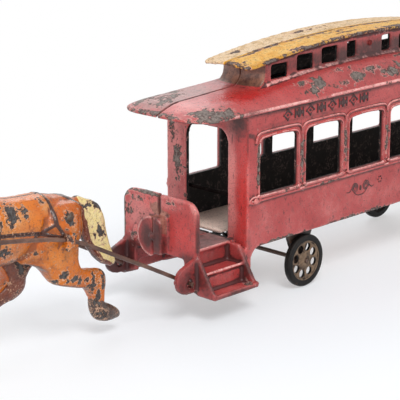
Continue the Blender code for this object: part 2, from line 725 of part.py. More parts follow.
def truck_frame():
    # Modelled about its own axle: a flat bolster with a tapering pedestal at each end.
    top = FLOOR_STANDS_Z - FLOOR_THICK - GAP - WHEEL_RADIUS
    outer_y = WHEEL_OUTER_Y - WHEEL_WIDTH - 0.5 * mm
    half_top = PEDESTAL_TOP / 2
    outline = [(-half_top, top), (-PEDESTAL_BOX, PEDESTAL_BOX * 0.8)]
    outline += arc((0, 0), PEDESTAL_BOX, 190, 350, 8)
    outline += [(PEDESTAL_BOX, PEDESTAL_BOX * 0.8), (half_top, top)]
    bolster = block((-BOLSTER_WIDTH / 2, -outer_y + 0.4 * mm, top - BOLSTER_THICK),
                    (BOLSTER_WIDTH / 2, outer_y - 0.4 * mm, top))
    hole = round_bar("y", (0, 0), AXLE_RADIUS + RUN, -BODY_HALF, BODY_HALF)
    for side in (-1, 1):
        y0, y1 = sorted((side * outer_y, side * (outer_y - PEDESTAL_THICK)))
        combine(bolster, [prism(outline, "y", y0, y1)], "UNION")
    combine(bolster, [hole], "DIFFERENCE")
    rivet_hole = round_bar("z", (0, 0), TRUCK_RIVET_RADIUS + GAP, top - 5 * mm, top + 5 * mm, 12)
    return combine(bolster, [rivet_hole], "DIFFERENCE")


def truck_rivet():
    # A vertical rivet from z = 0 down, headed below the bolster and countersunk in the floor plate.
    low = -FLOOR_THICK - BOLSTER_THICK - 2 * GAP
    head, depth = TRUCK_RIVET_HEAD_RADIUS, COUNTERSINK_DEPTH + RIVET_BELOW_FLOOR
    profile = [(0, low - RIVET_HEAD), (head * 0.62, low - RIVET_HEAD * 0.8), (head, low)]
    profile += [(TRUCK_RIVET_RADIUS, low), (TRUCK_RIVET_RADIUS, -depth)]
    profile += [(COUNTERSINK_RADIUS, -RIVET_BELOW_FLOOR), (0, -RIVET_BELOW_FLOOR)]
    rivet = turned(profile, 12)
    rivet.data.transform(Matrix.Rotation(math.pi / 2, 4, "X"))
    return rivet


for label, end in (("front", -1), ("rear", 1)):
    frame = clean(truck_frame(), label + "_truck_frame", IRON)
    frame.location = (CAR_X + end * AXLE_X, 0, WHEEL_RADIUS)
    pin = clean(truck_rivet(), label + "_truck_rivet", IRON)
    pin.location = (CAR_X + end * AXLE_X, 0, FLOOR_STANDS_Z)


# Wheels and axles

def wheel_body(radius, width, rim, web, hub_radius, bore, hole_count, hole_radius, sides):
    # A wheel about the Y axis: rim, thinner pierced web, raised hub and bore.
    half, half_web = width / 2, web / 2
    rim_inner = radius - rim
    profile = [(bore, -half), (hub_radius, -half), (hub_radius + 0.5 * mm, -half_web)]
    profile += [(rim_inner - 0.4 * mm, -half_web), (rim_inner, -half * 0.86), (radius, -half * 0.86)]
    profile += [(radius, half), (rim_inner, half), (rim_inner - 0.4 * mm, half_web)]
    profile += [(hub_radius + 0.5 * mm, half_web), (hub_radius, half), (bore, half)]
    wheel = turned(profile, sides)
    middle = (hub_radius + rim_inner) / 2
    for i in range(hole_count):
        angle = 2 * math.pi * (i + 0.5) / hole_count
        centre = (middle * math.cos(angle), middle * math.sin(angle))
        combine(wheel, [round_bar("y", centre, hole_radius, -width, width, 8)], "DIFFERENCE")
    return wheel


def axle_body():
    reach = WHEEL_OUTER_Y + AXLE_END
    profile = [(0, -reach), (AXLE_RADIUS * 0.8, -reach), (AXLE_RADIUS, -reach + 0.3 * mm)]
    profile += [(AXLE_RADIUS, reach - 0.3 * mm), (AXLE_RADIUS * 0.8, reach), (0, reach)]
    return turned(profile, 16)


wheel_mesh = clean(wheel_body(WHEEL_RADIUS, WHEEL_WIDTH, WHEEL_RIM, WHEEL_WEB, WHEEL_HUB_RADIUS,
                              AXLE_RADIUS + RUN, WHEEL_HOLES, WHEEL_HOLE_RADIUS, 32), "wheel", IRON)
for label, end in (("front", -1), ("rear", 1)):
    place = Vector((CAR_X + end * AXLE_X, 0, WHEEL_RADIUS))
    axle = clean(axle_body(), label + "_axle", IRON)
    axle.location = place
    for side_label, side in (("near", -1), ("far", 1)):
        name = label + "_" + side_label + "_wheel"
        wheel = bpy.data.objects.new(name, wheel_mesh.data.copy())
        if side < 0:
            wheel.data.transform(Matrix.Rotation(math.pi, 4, "Z"))
        wheel.location = place + Vector((0, side * (WHEEL_OUTER_Y - WHEEL_WIDTH / 2), 0))
        bpy.context.scene.collection.objects.link(wheel)
bpy.data.objects.remove(wheel_mesh, do_unlink=True)


# Shafts: one bent wire on each side, from the ear to the horse's shoulder

def shaft_path(side):
    # From the ear to the flank the shaft rises less where the body stands higher.
    ear_x, ear_z = -TEAM_EAR_X, EAR_STANDS_Z
    outer = EAR_OUTER_Y + 1.3 * mm
    inside = SHAFT_AT_EAR_Y
    points = [(ear_x, outer, ear_z), (ear_x, inside + 2.2 * mm, ear_z)]
    bend = [(ear_x - 0.2 * mm, inside + 0.9 * mm, ear_z + 0.1 * mm)]
    bend.append((ear_x - 1.1 * mm, inside, ear_z + 0.6 * mm))
    route = [(-121.5, 17.0, 18.7), (-134.3, 16.0, 25.6), (-149.5, 14.6, 33.4), (-160.0, 13.7, 38.9)]
    route += [(-168.0, 13.2, 42.6), (-177.0, 13.2, 45.4), (-190.0, 13.2, 47.9), (-203.0, 13.2, 49.9)]
    route = [(x * mm, y * mm, z * mm) for x, y, z in route]
    shares = [max(0.0, (x + TEAM_FLANK_X) / (TEAM_FLANK_X - TEAM_EAR_X)) for x, _, _ in route]
    route = [(x, y, z + BODY_LIFT * share) for (x, y, z), share in zip(route, shares)]
    front_x, front_z = -213.5 * mm, 51.3 * mm
    tail = [(front_x + 1.2 * mm, SHAFT_AT_FLANK_Y, front_z - 0.2 * mm)]
    tail += [(front_x, SHAFT_AT_FLANK_Y - 1.2 * mm, front_z), (front_x, SHAFT_AT_FLANK_Y - 5.0 * mm, front_z)]
    curve = points[:1] + [tuple(p) for p in smooth_path(points[1:] + bend + route + tail, 2)]
    return [(x, side * y, z) for x, y, z in curve]


# Horse castings

BODY_LINE = [(-151.8, 53.0), (-159.0, 55.4), (-166.2, 57.5), (-174.2, 59.6), (-183.0, 60.2), (-190.5, 60.9),
             (-195.0, 63.2), (-200.0, 64.0), (-205.5, 66.0), (-210.5, 71.0), (-216.5, 78.5), (-222.5, 85.5),
             (-227.0, 89.0), (-229.2, 93.2), (-232.0, 88.6), (-236.5, 82.0), (-241.5, 77.6), (-244.5, 74.6),
             (-243.3, 71.6), (-239.0, 70.8), (-234.5, 72.6), (-230.0, 72.6), (-226.2, 69.5), (-224.4, 64.0),
             (-224.6, 58.0), (-225.0, 51.0)]
TAIL_LINE = [(-156.4, 49.6), (-155.3, 44.9), (-153.5, 37.6), (-150.7, 32.9), (-146.2, 27.4), (-140.6, 24.3),
             (-137.6, 25.2), (-138.8, 28.4), (-140.9, 33.0), (-143.1, 39.8), (-144.0, 45.0), (-145.6, 49.0),
             (-148.4, 51.9)]
NEAR_HIND = [(-188.4, 36.5), (-183.8, 35.6), (-177.9, 32.0), (-173.9, 26.5), (-169.1, 24.2), (-163.0, 22.2),
             (-158.4, 21.0), (-155.4, 17.2), (-154.8, 12.5), (-152.9, 7.4), (-147.4, 5.3), (-140.4, 5.7),
             (-142.0, 9.6), (-147.0, 12.8), (-149.6, 14.4), (-149.0, 18.6), (-148.2, 23.4), (-149.8, 26.8),
             (-154.6, 28.0), (-160.0, 29.4), (-162.5, 33.0), (-162.4, 38.0), (-161.0, 46.1), (-158.8, 50.0)]
FAR_HIND = [(-192.0, 36.4), (-188.8, 33.0), (-187.4, 28.6), (-190.5, 25.4), (-197.0, 23.0), (-202.0, 20.6),
            (-207.0, 16.6), (-205.4, 12.4), (-199.0, 12.6), (-195.2, 16.6), (-189.7, 19.6), (-182.2, 21.2),
            (-178.4, 24.6), (-177.8, 30.2), (-171.5, 33.6), (-165.0, 38.0), (-162.0, 43.5), (-159.6, 49.0)]
NEAR_FORE = [(-224.0, 44.5), (-221.4, 38.0), (-221.2, 31.0), (-221.4, 25.0), (-218.6, 19.5), (-217.6, 14.8),
             (-219.6, 10.8), (-222.0, 4.4), (-210.8, 3.6), (-209.8, 9.6), (-211.6, 13.8), (-212.8, 19.0),
             (-213.4, 25.2), (-211.8, 31.0), (-208.6, 36.4), (-198.0, 36.0)]
FAR_FORE = [(-224.6, 45.0), (-229.0, 37.0), (-233.4, 31.0), (-233.6, 26.0), (-230.4, 20.5), (-228.8, 14.8),
            (-229.4, 9.6), (-224.2, 6.6), (-219.4, 9.4), (-222.2, 14.0), (-224.8, 19.6), (-226.0, 24.8),
            (-221.4, 28.6), (-214.6, 32.6), (-208.0, 36.2), (-198.0, 36.0)]


def horse_outline(fore, hind):
    # One closed outline: back and head, chest, foreleg, belly, hind leg, rump and tail.
    points = BODY_LINE + fore + hind + TAIL_LINE
    loop = [(x * mm, 0, z * mm) for x, z in points]
    count = len(loop)
    curve = []
    for k in range(count):
        p0, p1, p2, p3 = (Vector(loop[(k + i - 1) % count]) for i in range(4))
        for t in (0.0, 0.5):
            value = 2 * p1 + (p2 - p0) * t
            value += (2 * p0 - 5 * p1 + 4 * p2 - p3) * t * t
            value += (3 * p1 - p0 - 3 * p2 + p3) * t * t * t
            curve.append((value.x / 2, value.z / 2))
    return curve


def edge_distance(x, z, outline):
    best = 1.0
    for k in range(len(outline)):
        ax, az = outline[k]
        bx, bz = outline[(k + 1) % len(outline)]
        dx, dz = bx - ax, bz - az
        length = dx * dx + dz * dz
        t = 0 if length == 0 else max(0.0, min(1.0, ((x - ax) * dx + (z - az) * dz) / length))
        best = min(best, math.hypot(x - ax - t * dx, z - az - t * dz))
    return best


def inside(x, z, outline):
    result = False
    for k in range(len(outline)):
        ax, az = outline[k]
        bx, bz = outline[(k + 1) % len(outline)]
        if (az > z) != (bz > z) and x < ax + (z - az) / (bz - az) * (bx - ax):
            result = not result
    return result


def ramp(value, start, end):
    t = max(0.0, min(1.0, (value - start) / (end - start)))
    return t * t * (3 - 2 * t)


def horse_bulk(x, z):
    # Greatest half thickness by region: trunk, then thinner head, tail and legs.
    trunk = HORSE_BODY_BULK
    neck = ramp(z, 60 * mm, 76 * mm) * ramp(-x, 205 * mm, 222 * mm)
    tail = ramp(x, -159 * mm, -153 * mm) * ramp(z, 14 * mm, 24 * mm)
    bulk = trunk + (5.2 * mm - trunk) * neck
    return bulk + (4.0 * mm - bulk) * tail


def leg_share(x, z):
    # 0 in the trunk and tail, 1 in the legs, which stand off from the joint plane.
    share = 1.0 - ramp(z, 26 * mm, 38 * mm)
    tail = ramp(x, -155 * mm, -150 * mm) * ramp(z, 14 * mm, 22 * mm)
    return share * (1.0 - tail)


def horse_heights(x, z, distance):
    # Inner and outer distance of the casting from the joint plane.
    rounding = math.sqrt(max(0.0, 1 - (1 - min(distance / HORSE_ROUNDING, 1.0)) ** 2))
    outer = HORSE_EDGE + (horse_bulk(x, z) - HORSE_EDGE) * rounding
    inner = max(SEAM, outer - HORSE_SHELL - 1.5 * mm * (1 - rounding))
    leg_round = math.sqrt(max(0.0, 1 - (1 - min(distance / (3.4 * mm), 1.0)) ** 2))
    leg_half = 0.6 * mm + (HORSE_LEG_BULK - 0.6 * mm) * leg_round
    share = leg_share(x, z)
    outer += (HORSE_LEG_MID + leg_half - outer) * share
    inner += (HORSE_LEG_MID - leg_half - inner) * share
    return inner, outer


def horse_half(fore, hind, side):
    outline = horse_outline(fore, hind)
    low_x = min(p[0] for p in outline)
    high_x = max(p[0] for p in outline)
    high_z = max(p[1] for p in outline)
    fixed = [Vector(p) for p in outline]
    edges = [(k, (k + 1) % len(outline)) for k in range(len(outline))]
    points = list(fixed)
    for i in range(int((high_x - low_x) / HORSE_GRID) + 1):
        for j in range(int(high_z / HORSE_GRID) + 1):
            x = low_x + (i + 0.5 * (j % 2)) * HORSE_GRID
            z = j * HORSE_GRID
            if inside(x, z, outline) and edge_distance(x, z, outline) > HORSE_GRID * 0.42:
                points.append(Vector((x, z)))
    verts, _, faces, _, _, _ = delaunay_2d_cdt(points, edges, [], 1, 1e-7)
    bm = bmesh.new()
    outer, inner = [], []
    for x, z in verts:
        near, far = horse_heights(x, z, edge_distance(x, z, outline))
        outer.append(bm.verts.new((x, side * far, z)))
        inner.append(bm.verts.new((x, side * near, z)))
    for face in faces:
        bm.faces.new([outer[i] for i in face])
        bm.faces.new([inner[i] for i in reversed(face)])
    used = {}
    for face in faces:
        for k in range(len(face)):
            pair = (face[k], face[(k + 1) % len(face)])
            used[pair] = True
    for a, b in list(used):
        if (b, a) not in used:
            bm.faces.new((outer[b], outer[a], inner[a], inner[b]))
    return add_object("horse_half", bm)


HORSE_RIVETS = {
    "horse_rump_rivet": (-169.0 * mm, 51.5 * mm),
    "horse_shoulder_rivet": (-207.0 * mm, 57.0 * mm),
}
EYELET_X = -171.5 * mm
PIN_X = -216.0 * mm


def horse_casting(name, fore, hind, side):
    half = horse_half(fore, hind, side)
    path = shaft_path(side)
    spot = min(path, key=lambda p: abs(p[0] - EYELET_X))
    y0, y1 = sorted((side * EYELET_ROOT_Y, side * (SHAFT_AT_FLANK_Y + SHAFT_RADIUS + EYELET_WALL)))
    lug = block((EYELET_X - EYELET_HALF, y0, spot[2] - EYELET_RISE),
                (EYELET_X + EYELET_HALF, y1, spot[2] + EYELET_RISE))
    combine(half, [lug], "UNION")
    combine(half, [tube(path, SHAFT_RADIUS + SHAFT_CLEARANCE)], "DIFFERENCE")
    for x, z in HORSE_RIVETS.values():
        y0, y1 = sorted((side * (-mm), side * 20 * mm))
        hole = round_bar("y", (x, z), HORSE_RIVET_RADIUS + GAP, y0, y1, 10)
        combine(half, [hole], "DIFFERENCE")
    if side < 0:
        y0, y1 = -20 * mm, mm
        pin_hole = round_bar("y", (PIN_X, HORSE_WHEEL_RADIUS), HORSE_PIN_RADIUS + GAP, y0, y1, 12)
        combine(half, [pin_hole], "DIFFERENCE")
    return clean(half, name, ORANGE)


near_horse = horse_casting("near_horse_half", NEAR_FORE, NEAR_HIND, -1)
far_horse = horse_casting("far_horse_half", FAR_FORE, FAR_HIND, 1)
near_outline = horse_outline(NEAR_FORE, NEAR_HIND)
near_shaft = clean(tube(shaft_path(-1), SHAFT_RADIUS), "near_shaft", WIRE)
far_shaft = clean(tube(shaft_path(1), SHAFT_RADIUS), "far_shaft", WIRE)

# The team swings about the ear holes, so its pieces share one empty there.
pivot = bpy.data.objects.new("team_pivot", None)
pivot.location = (CAR_X - EAR_HOLE_X, 0, EAR_STANDS_Z)
bpy.context.scene.collection.objects.link(pivot)
for item in (near_horse, far_horse, near_shaft, far_shaft):
    item.data.transform(Matrix.Translation((TEAM_EAR_X, 0, -EAR_STANDS_Z)))
    item.parent = pivot

for name, (x, z) in HORSE_RIVETS.items():
    reach = horse_heights(x, z, edge_distance(x, z, near_outline))[1] + GAP
    rivet = headed_pin(HORSE_RIVET_RADIUS, reach, RIVET_HEAD_RADIUS * 0.85, RIVET_HEAD * 0.9, 10)
    rivet = clean(rivet, name, IRON)
    rivet.parent = pivot
    rivet.location = (x + TEAM_EAR_X, 0, z - EAR_STANDS_Z)

# The little front wheel and the stub pin that it turns on
wheel = clean(wheel_body(HORSE_WHEEL_RADIUS, HORSE_WHEEL_WIDTH, HORSE_WHEEL_RIM, HORSE_WHEEL_WEB,
                         HORSE_WHEEL_HUB_RADIUS, HORSE_PIN_RADIUS + RUN, 0, 0, 28), "horse_wheel", IRON)
wheel.parent = pivot
wheel.location = (PIN_X + TEAM_EAR_X, 0, HORSE_WHEEL_RADIUS - EAR_STANDS_Z)


def stub_pin():
    hoof_outer = HORSE_LEG_MID + HORSE_LEG_BULK + GAP
    wheel_side = HORSE_WHEEL_WIDTH / 2 + GAP
    head = RIVET_HEAD_RADIUS * 0.9
    profile = [(0, -hoof_outer - RIVET_HEAD), (head, -hoof_outer - 0.2 * mm), (head, -hoof_outer)]
    profile += [(HORSE_PIN_RADIUS, -hoof_outer), (HORSE_PIN_RADIUS, wheel_side), (head, wheel_side)]
    profile += [(head, wheel_side + 0.3 * mm), (0, wheel_side + RIVET_HEAD)]
    return turned(profile, 16)


stub = clean(stub_pin(), "horse_wheel_pin", IRON)
stub.parent = pivot
stub.location = wheel.location

for item in bpy.context.scene.objects:
    if item.type == "MESH":
        item.data.shade_smooth()
        item.data.set_sharp_from_angle(angle=math.radians(35))
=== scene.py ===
import json
import math

import bmesh
import bpy
import numpy as np
from mathutils import Matrix, Vector, noise
from mathutils.geometry import delaunay_2d_cdt


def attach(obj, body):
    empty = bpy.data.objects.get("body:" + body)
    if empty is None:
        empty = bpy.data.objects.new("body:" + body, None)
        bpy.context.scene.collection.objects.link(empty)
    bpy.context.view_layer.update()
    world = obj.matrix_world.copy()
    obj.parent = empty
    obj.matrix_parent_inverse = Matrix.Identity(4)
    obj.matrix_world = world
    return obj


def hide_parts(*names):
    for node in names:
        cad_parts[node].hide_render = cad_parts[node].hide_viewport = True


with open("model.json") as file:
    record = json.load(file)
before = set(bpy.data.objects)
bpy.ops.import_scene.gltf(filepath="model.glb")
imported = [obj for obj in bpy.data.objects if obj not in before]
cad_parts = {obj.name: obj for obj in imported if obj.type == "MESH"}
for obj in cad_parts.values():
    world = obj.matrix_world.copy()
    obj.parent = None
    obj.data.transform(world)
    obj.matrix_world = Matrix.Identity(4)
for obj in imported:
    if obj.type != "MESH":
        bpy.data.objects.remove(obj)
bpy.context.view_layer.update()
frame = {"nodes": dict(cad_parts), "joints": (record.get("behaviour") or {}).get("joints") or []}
print("frame loaded with", len(frame["nodes"]), "CAD nodes")

# Shapes are drawn in millimetres about the middle of the car, with its rear at +x and the near side at -y,
# and set down in the frame's metres when a piece is finished.
mm = 0.001
spins = {joint["name"]: joint["pos_m"] for joint in frame["joints"]}
carX = (spins["front_axle_spin"][0] + spins["rear_axle_spin"][0]) / 2
axleX = (spins["rear_axle_spin"][0] - carX) / mm
seam = 0.15


# Solids are (points, faces) pairs. They may run into each other, because the casting skin fuses them.

def block(low, high):
    corners = [(x, y, z) for x in (low[0], high[0]) for y in (low[1], high[1]) for z in (low[2], high[2])]
    faces = [(0, 1, 3, 2), (4, 6, 7, 5), (0, 4, 5, 1), (2, 3, 7, 6), (0, 2, 6, 4), (1, 5, 7, 3)]
    return corners, faces


def prism(outline, axis, start, end):
    # an outline of (a, b) points pushed along one axis
    count, slot = len(outline), "xyz".index(axis)
    points = [(a, b)[:slot] + (c,) + (a, b)[slot:] for c in (start, end) for a, b in outline]
    faces = [tuple(range(count)), tuple(range(2 * count - 1, count - 1, -1))]
    faces += [(k, k + count, (k + 1) % count + count, (k + 1) % count) for k in range(count)]
    return points, faces


def woven(rings, count, closed=False):
    # four-sided faces between neighbouring rings of points
    faces = []
    for r in range(rings if closed else rings - 1):
        ahead = (r + 1) % rings
        for k in range(count):
            n = (k + 1) % count
            faces.append((r * count + k, r * count + n, ahead * count + n, ahead * count + k))
    return faces


def loft(rings):
    # a closed run of rings with equally many points
    count = len(rings[0])
    points = [tuple(point) for ring in rings for point in ring]
    caps = [tuple(range(count))[::-1], tuple(range((len(rings) - 1) * count, len(rings) * count))]
    return points, caps + woven(len(rings), count)


def turned(profile, sides=64):
    # a closed (radius, y) profile turned about the y axis
    angles = [2 * math.pi * i / sides for i in range(sides)]
    points = [(radius * math.cos(a), y, radius * math.sin(a)) for a in angles for radius, y in profile]
    return points, woven(sides, len(profile), closed=True)


def tube(path, radius, sides=10, flat=1.0):
    # a round bar along a path; the radius may change from point to point
    path = [Vector([float(value) for value in point]) for point in path]
    radii = [radius] * len(path) if isinstance(radius, (int, float)) else [float(value) for value in radius]
    turns = [2 * math.pi * k / sides for k in range(sides)]
    rings = []
    across = Vector((0, 0, 1)) if abs((path[1] - path[0]).normalized().z) < 0.9 else Vector((0, 1, 0))
    for i, point in enumerate(path):
        ahead = (path[min(i + 1, len(path) - 1)] - path[max(i - 1, 0)]).normalized()
        across = (across - across.dot(ahead) * ahead).normalized()
        other = flat * ahead.cross(across)
        rings.append([point + radii[i] * (math.cos(t) * across + math.sin(t) * other) for t in turns])
    return loft(rings)


def ball(centre, size):
    bm = bmesh.new()
    bmesh.ops.create_icosphere(bm, subdivisions=3, radius=1.0)
    points = [tuple(c + s * v for c, s, v in zip(centre, size, vert.co)) for vert in bm.verts]
    faces = [tuple(vert.index for vert in face.verts) for face in bm.faces]
    bm.free()
    return points, faces


def plate(xs, ys, top, under):
    # a slab between two height functions; ys(x) gives the rows at a station
    grid = [(x, y) for x in xs for y in ys(x)]
    rows, shift = len(grid) // len(xs), len(grid)
    points = [(x, y, height(x, y)) for height in (top, under) for x, y in grid]
    faces = []
    for i in range(len(xs) - 1):
        for j in range(rows - 1):
            a, b = i * rows + j, (i + 1) * rows + j
            faces += [(a, b, b + 1, a + 1), (a + shift, a + 1 + shift, b + 1 + shift, b + shift)]
    rim = [i * rows for i in range(len(xs))] + [(len(xs) - 1) * rows + j for j in range(1, rows)]
    rim += [i * rows + rows - 1 for i in range(len(xs) - 2, -1, -1)] + list(range(rows - 2, 0, -1))
    faces += [(a, a + shift, b + shift, b) for a, b in zip(rim, rim[1:] + rim[:1])]
    return points, faces


def together(solids):
    points, faces = [], []
    for somePoints, someFaces in solids:
        shift = len(points)
        points += [tuple(point) for point in somePoints]
        faces += [tuple(index + shift for index in face) for face in someFaces]
    return points, faces


def moved(solid, x=0.0, z=0.0):
    return [(point[0] + x, point[1], point[2] + z) for point in solid[0]], solid[1]


def arc(centre, radius, start, end, steps):
    turns = [math.radians(start + (end - start) * i / steps) for i in range(steps + 1)]
    return [(centre[0] + radius * math.cos(t), centre[1] + radius * math.sin(t)) for t in turns]


def oval(centre, halfX, halfZ, radius):
    # a bar bent into an upright ring
    turns = np.linspace(0, 2 * math.pi, 25)
    path = [(centre[0] + halfX * math.cos(t), centre[1], centre[2] + halfZ * math.sin(t)) for t in turns]
    return tube(path, radius)


def curved(points, steps, loop=False):
    # a smooth curve through given points
    points = [Vector(point) for point in points]
    count = len(points)
    result = []
    for k in range(count if loop else count - 1):
        around = [(k + i - 1) % count if loop else min(max(k + i - 1, 0), count - 1) for i in range(4)]
        p0, p1, p2, p3 = (points[i] for i in around)
        for i in range(steps):
            t = i / steps
            value = 2 * p1 + (p2 - p0) * t + (2 * p0 - 5 * p1 + 4 * p2 - p3) * t ** 2
            result.append((value + (3 * p1 - p0 - 3 * p2 + p3) * t ** 3) / 2)
    return result if loop else result + [points[-1]]


def asObject(name, solid, tidy=True):
    mesh = bpy.data.meshes.new(name)
    mesh.from_pydata(solid[0], [], solid[1])
    if tidy:
        bm = bmesh.new()
        bm.from_mesh(mesh)
        bmesh.ops.recalc_face_normals(bm, faces=bm.faces)
        bm.to_mesh(mesh)
        bm.free()
    return linked(name, mesh)


def linked(name, data):
    item = bpy.data.objects.new(name, data)
    bpy.context.scene.collection.objects.link(item)
    return item


def settled(item):
    # put the modifiers' result into the object's own mesh
    depsgraph = bpy.context.evaluated_depsgraph_get()
    mesh = bpy.data.meshes.new_from_object(item.evaluated_get(depsgraph))
    old = item.data
    item.modifiers.clear()
    item.data = mesh
    bpy.data.meshes.remove(old)
    return item


def asSolid(item):
    # read an object's mesh back as a solid, and drop the object
    points = [tuple(vert.co) for vert in item.data.vertices]
    faces = [tuple(face.vertices) for face in item.data.polygons]
    bpy.data.objects.remove(item, do_unlink=True)
    return points, faces


def cut(solid, cutter):
    target, tool = asObject("target", solid), asObject("tool", cutter)
    modifier = target.modifiers.new("cut", "BOOLEAN")
    modifier.operation, modifier.solver, modifier.object = "DIFFERENCE", "MANIFOLD", tool
    settled(target)
    bpy.data.objects.remove(tool, do_unlink=True)
    return asSolid(target)


# Geometry Nodes for what repeats

copiesNodes = {
    "entry": "NodeGroupInput", "line": "GeometryNodeMeshLine", "index": "GeometryNodeInputIndex",
    "angle": "ShaderNodeMath", "turn": "ShaderNodeCombineXYZ", "place": "GeometryNodeInstanceOnPoints",
    "real": "GeometryNodeRealizeInstances", "finish": "GeometryNodeSetMaterial", "out": "NodeGroupOutput",
}
copiesWires = [
    ("entry", "Count", "line", "Count"), ("entry", "Step", "line", "Offset"),
    ("index", "Index", "angle", 0), ("entry", "Turn", "angle", 1), ("angle", 0, "turn", "Y"),
    ("line", "Mesh", "place", "Points"), ("entry", "Geometry", "place", "Instance"),
    ("turn", "Vector", "place", "Rotation"), ("place", "Instances", "real", "Geometry"),
    ("real", "Geometry", "finish", "Geometry"), ("entry", "Finish", "finish", "Material"),
    ("finish", "Geometry", "out", "Geometry"),
]


def buildCopiesTree():
    # copies of the incoming shape, each a step further and a turn about y further than the last
    tree = bpy.data.node_groups.new("copies", "GeometryNodeTree")
    kinds = {"Geometry": "Geometry", "Count": "Int", "Step": "Vector", "Turn": "Float", "Finish": "Material"}
    for label, kind in kinds.items():
        tree.interface.new_socket(label, in_out="INPUT", socket_type="NodeSocket" + kind)
    tree.interface.new_socket("Geometry", in_out="OUTPUT", socket_type="NodeSocketGeometry")
    nodes = {label: tree.nodes.new(kind) for label, kind in copiesNodes.items()}
    nodes["angle"].operation = "MULTIPLY"
    for source, output, target, entry in copiesWires:
        tree.links.new(nodes[source].outputs[output], nodes[target].inputs[entry])
    return tree


copiesTree = buildCopiesTree()
scratchFinish = bpy.data.materials.new("scratch")


def copies(solid, count, step=0.0, turn=0.0):
    # the tree's inputs are found by their names and set by their identifiers
    item = asObject("source", solid)
    modifier = item.modifiers.new("copies", "NODES")
    modifier.node_group = copiesTree
    values = {"Count": count, "Step": (step, 0.0, 0.0), "Turn": turn, "Finish": scratchFinish}
    for socket in copiesTree.interface.items_tree:
        if socket.in_out == "INPUT" and socket.name in values:
            modifier[socket.identifier] = values[socket.name]
    return asSolid(settled(item))


# The casting skin: fuse solids, round them off, and read where the surface is proud or hollow

def readOut(items, key, width=3, kind=np.float32):
    values = np.empty(len(items) * width, kind)
    items.foreach_get(key, values)
    return values.reshape(-1, width) if width > 1 else values


def pointsOf(item):
    return readOut(item.data.vertices, "co").astype(float)


def normalsOf(item):
    return readOut(item.data.vertex_normals, "vector").astype(float)


def linksOf(item):
    return readOut(item.data.edges, "vertices", 2, np.int32)


def valuesOf(item, name):
    return readOut(item.data.attributes[name].data, "value", 1)


def fieldOf(item, name, values):
    layer = item.data.attributes.get(name) or item.data.attributes.new(name, "FLOAT", "POINT")
    layer.data.foreach_set("value", np.asarray(values, np.float32))


def putPoints(item, points):
    item.data.vertices.foreach_set("co", np.asarray(points, np.float32).ravel())
    item.data.update()


def averaged(values, links, rounds, share=1.0):
    # move each value towards the mean of its neighbours
    count = len(values)
    degree = np.maximum(np.bincount(links.ravel(), minlength=count), 1)
    values = np.array(values, float)
    columns = values.reshape(count, -1)
    for _ in range(rounds):
        total = np.empty_like(columns)
        for c in range(columns.shape[1]):
            column = columns[:, c]
            total[:, c] = np.bincount(links[:, 0], column[links[:, 1]], count)
            total[:, c] += np.bincount(links[:, 1], column[links[:, 0]], count)
        columns = columns + share * (total / degree[:, None] - columns)
    return columns.reshape(values.shape)


def grain(points, size, seed=0.0):
    # even noise from -1 to 1 at each point, with lumps of about that size
    shift = Vector((seed, seed * 1.7, seed * 0.6))
    return np.array([noise.noise(Vector(point) / size + shift) for point in points])


def skin(name, solid, voxel, rounds=2, lumps=0.07, lumpSize=3.0):
    # one continuous cast surface over a heap of closed solids
    item = asObject(name, solid, tidy=False)
    remesh = item.modifiers.new("skin", "REMESH")
    remesh.mode, remesh.voxel_size = "VOXEL", voxel
    settled(item)
    links, points = linksOf(item), pointsOf(item)
    for _ in range(rounds):  # a step in and a longer step out keep the size
        points = averaged(points, links, 1, 0.55)
        points = averaged(points, links, 1, -0.57)
    putPoints(item, points)
    if lumps:
        points = points + normalsOf(item) * (grain(points, lumpSize) * lumps)[:, None]
        putPoints(item, points)
    readShape(item, voxel)
    print(name, "has", len(item.data.polygons), "faces")
    return item


def readShape(item, voxel):
    # edge is high on ridges, hollow in corners, both from how far a point stands off its surroundings
    points, links, normals = pointsOf(item), linksOf(item), normalsOf(item)
    tight = averaged(points, links, 4)
    wide = averaged(tight, links, 22)
    nearly = ((points - tight) * normals).sum(1) / voxel
    broad = ((points - wide) * normals).sum(1) / voxel
    fieldOf(item, "edge", np.clip(nearly * 2.2 + broad * 0.25, 0, 1))
    fieldOf(item, "hollow", np.clip(-nearly * 2.0 - broad * 0.35, 0, 1))


def patches(points, spots, ragged=0.0):
    # soft ellipsoids: each spot is a centre, half sizes and a strength
    total = np.zeros(len(points))
    for centre, size, strength in spots:
        away = np.sqrt((((points - np.array(centre)) / np.array(size)) ** 2).sum(1)) * (1 + ragged)
        total = np.maximum(total, strength * np.clip(1.35 - away * 0.85, 0, 1))
    return total


def ramp(values, start, end):
    share = np.clip((values - start) / (end - start), 0, 1)
    return share * share * (3 - 2 * share)


def band(values, low, high, soft):
    return ramp(values, low - soft, low + soft) * (1 - ramp(values, high - soft, high + soft))


def lineDistance(x, z, line):
    best = np.full(len(x), 1e3)
    for (ax, az), (bx, bz) in zip(line, line[1:]):
        dx, dz = bx - ax, bz - az
        t = np.clip(((x - ax) * dx + (z - az) * dz) / (dx * dx + dz * dz), 0, 1)
        best = np.minimum(best, np.hypot(x - ax - t * dx, z - az - t * dz))
    return best


def setDown(item, finish, body, stands=()):
    # from millimetres about the car to metres in the frame, with its finish and its body
    points = pointsOf(item) * mm
    points[:, 0] += carX
    putPoints(item, points)
    item.data.materials.clear()
    item.data.materials.append(finish)
    item.data.shade_smooth()
    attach(item, body)
    if stands:
        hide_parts(*stands)
    return item


def castPair(label, solid, voxel, **settings):
    # the near half, and the far half from the same pattern, turned half round
    near = skin("near_side_" + label, solid, voxel, **settings)
    far = linked("far_side_" + label, near.data.copy())
    far.data.transform(Matrix.Rotation(math.pi, 4, "Z"))
    return near, far


# Shader maths on sockets

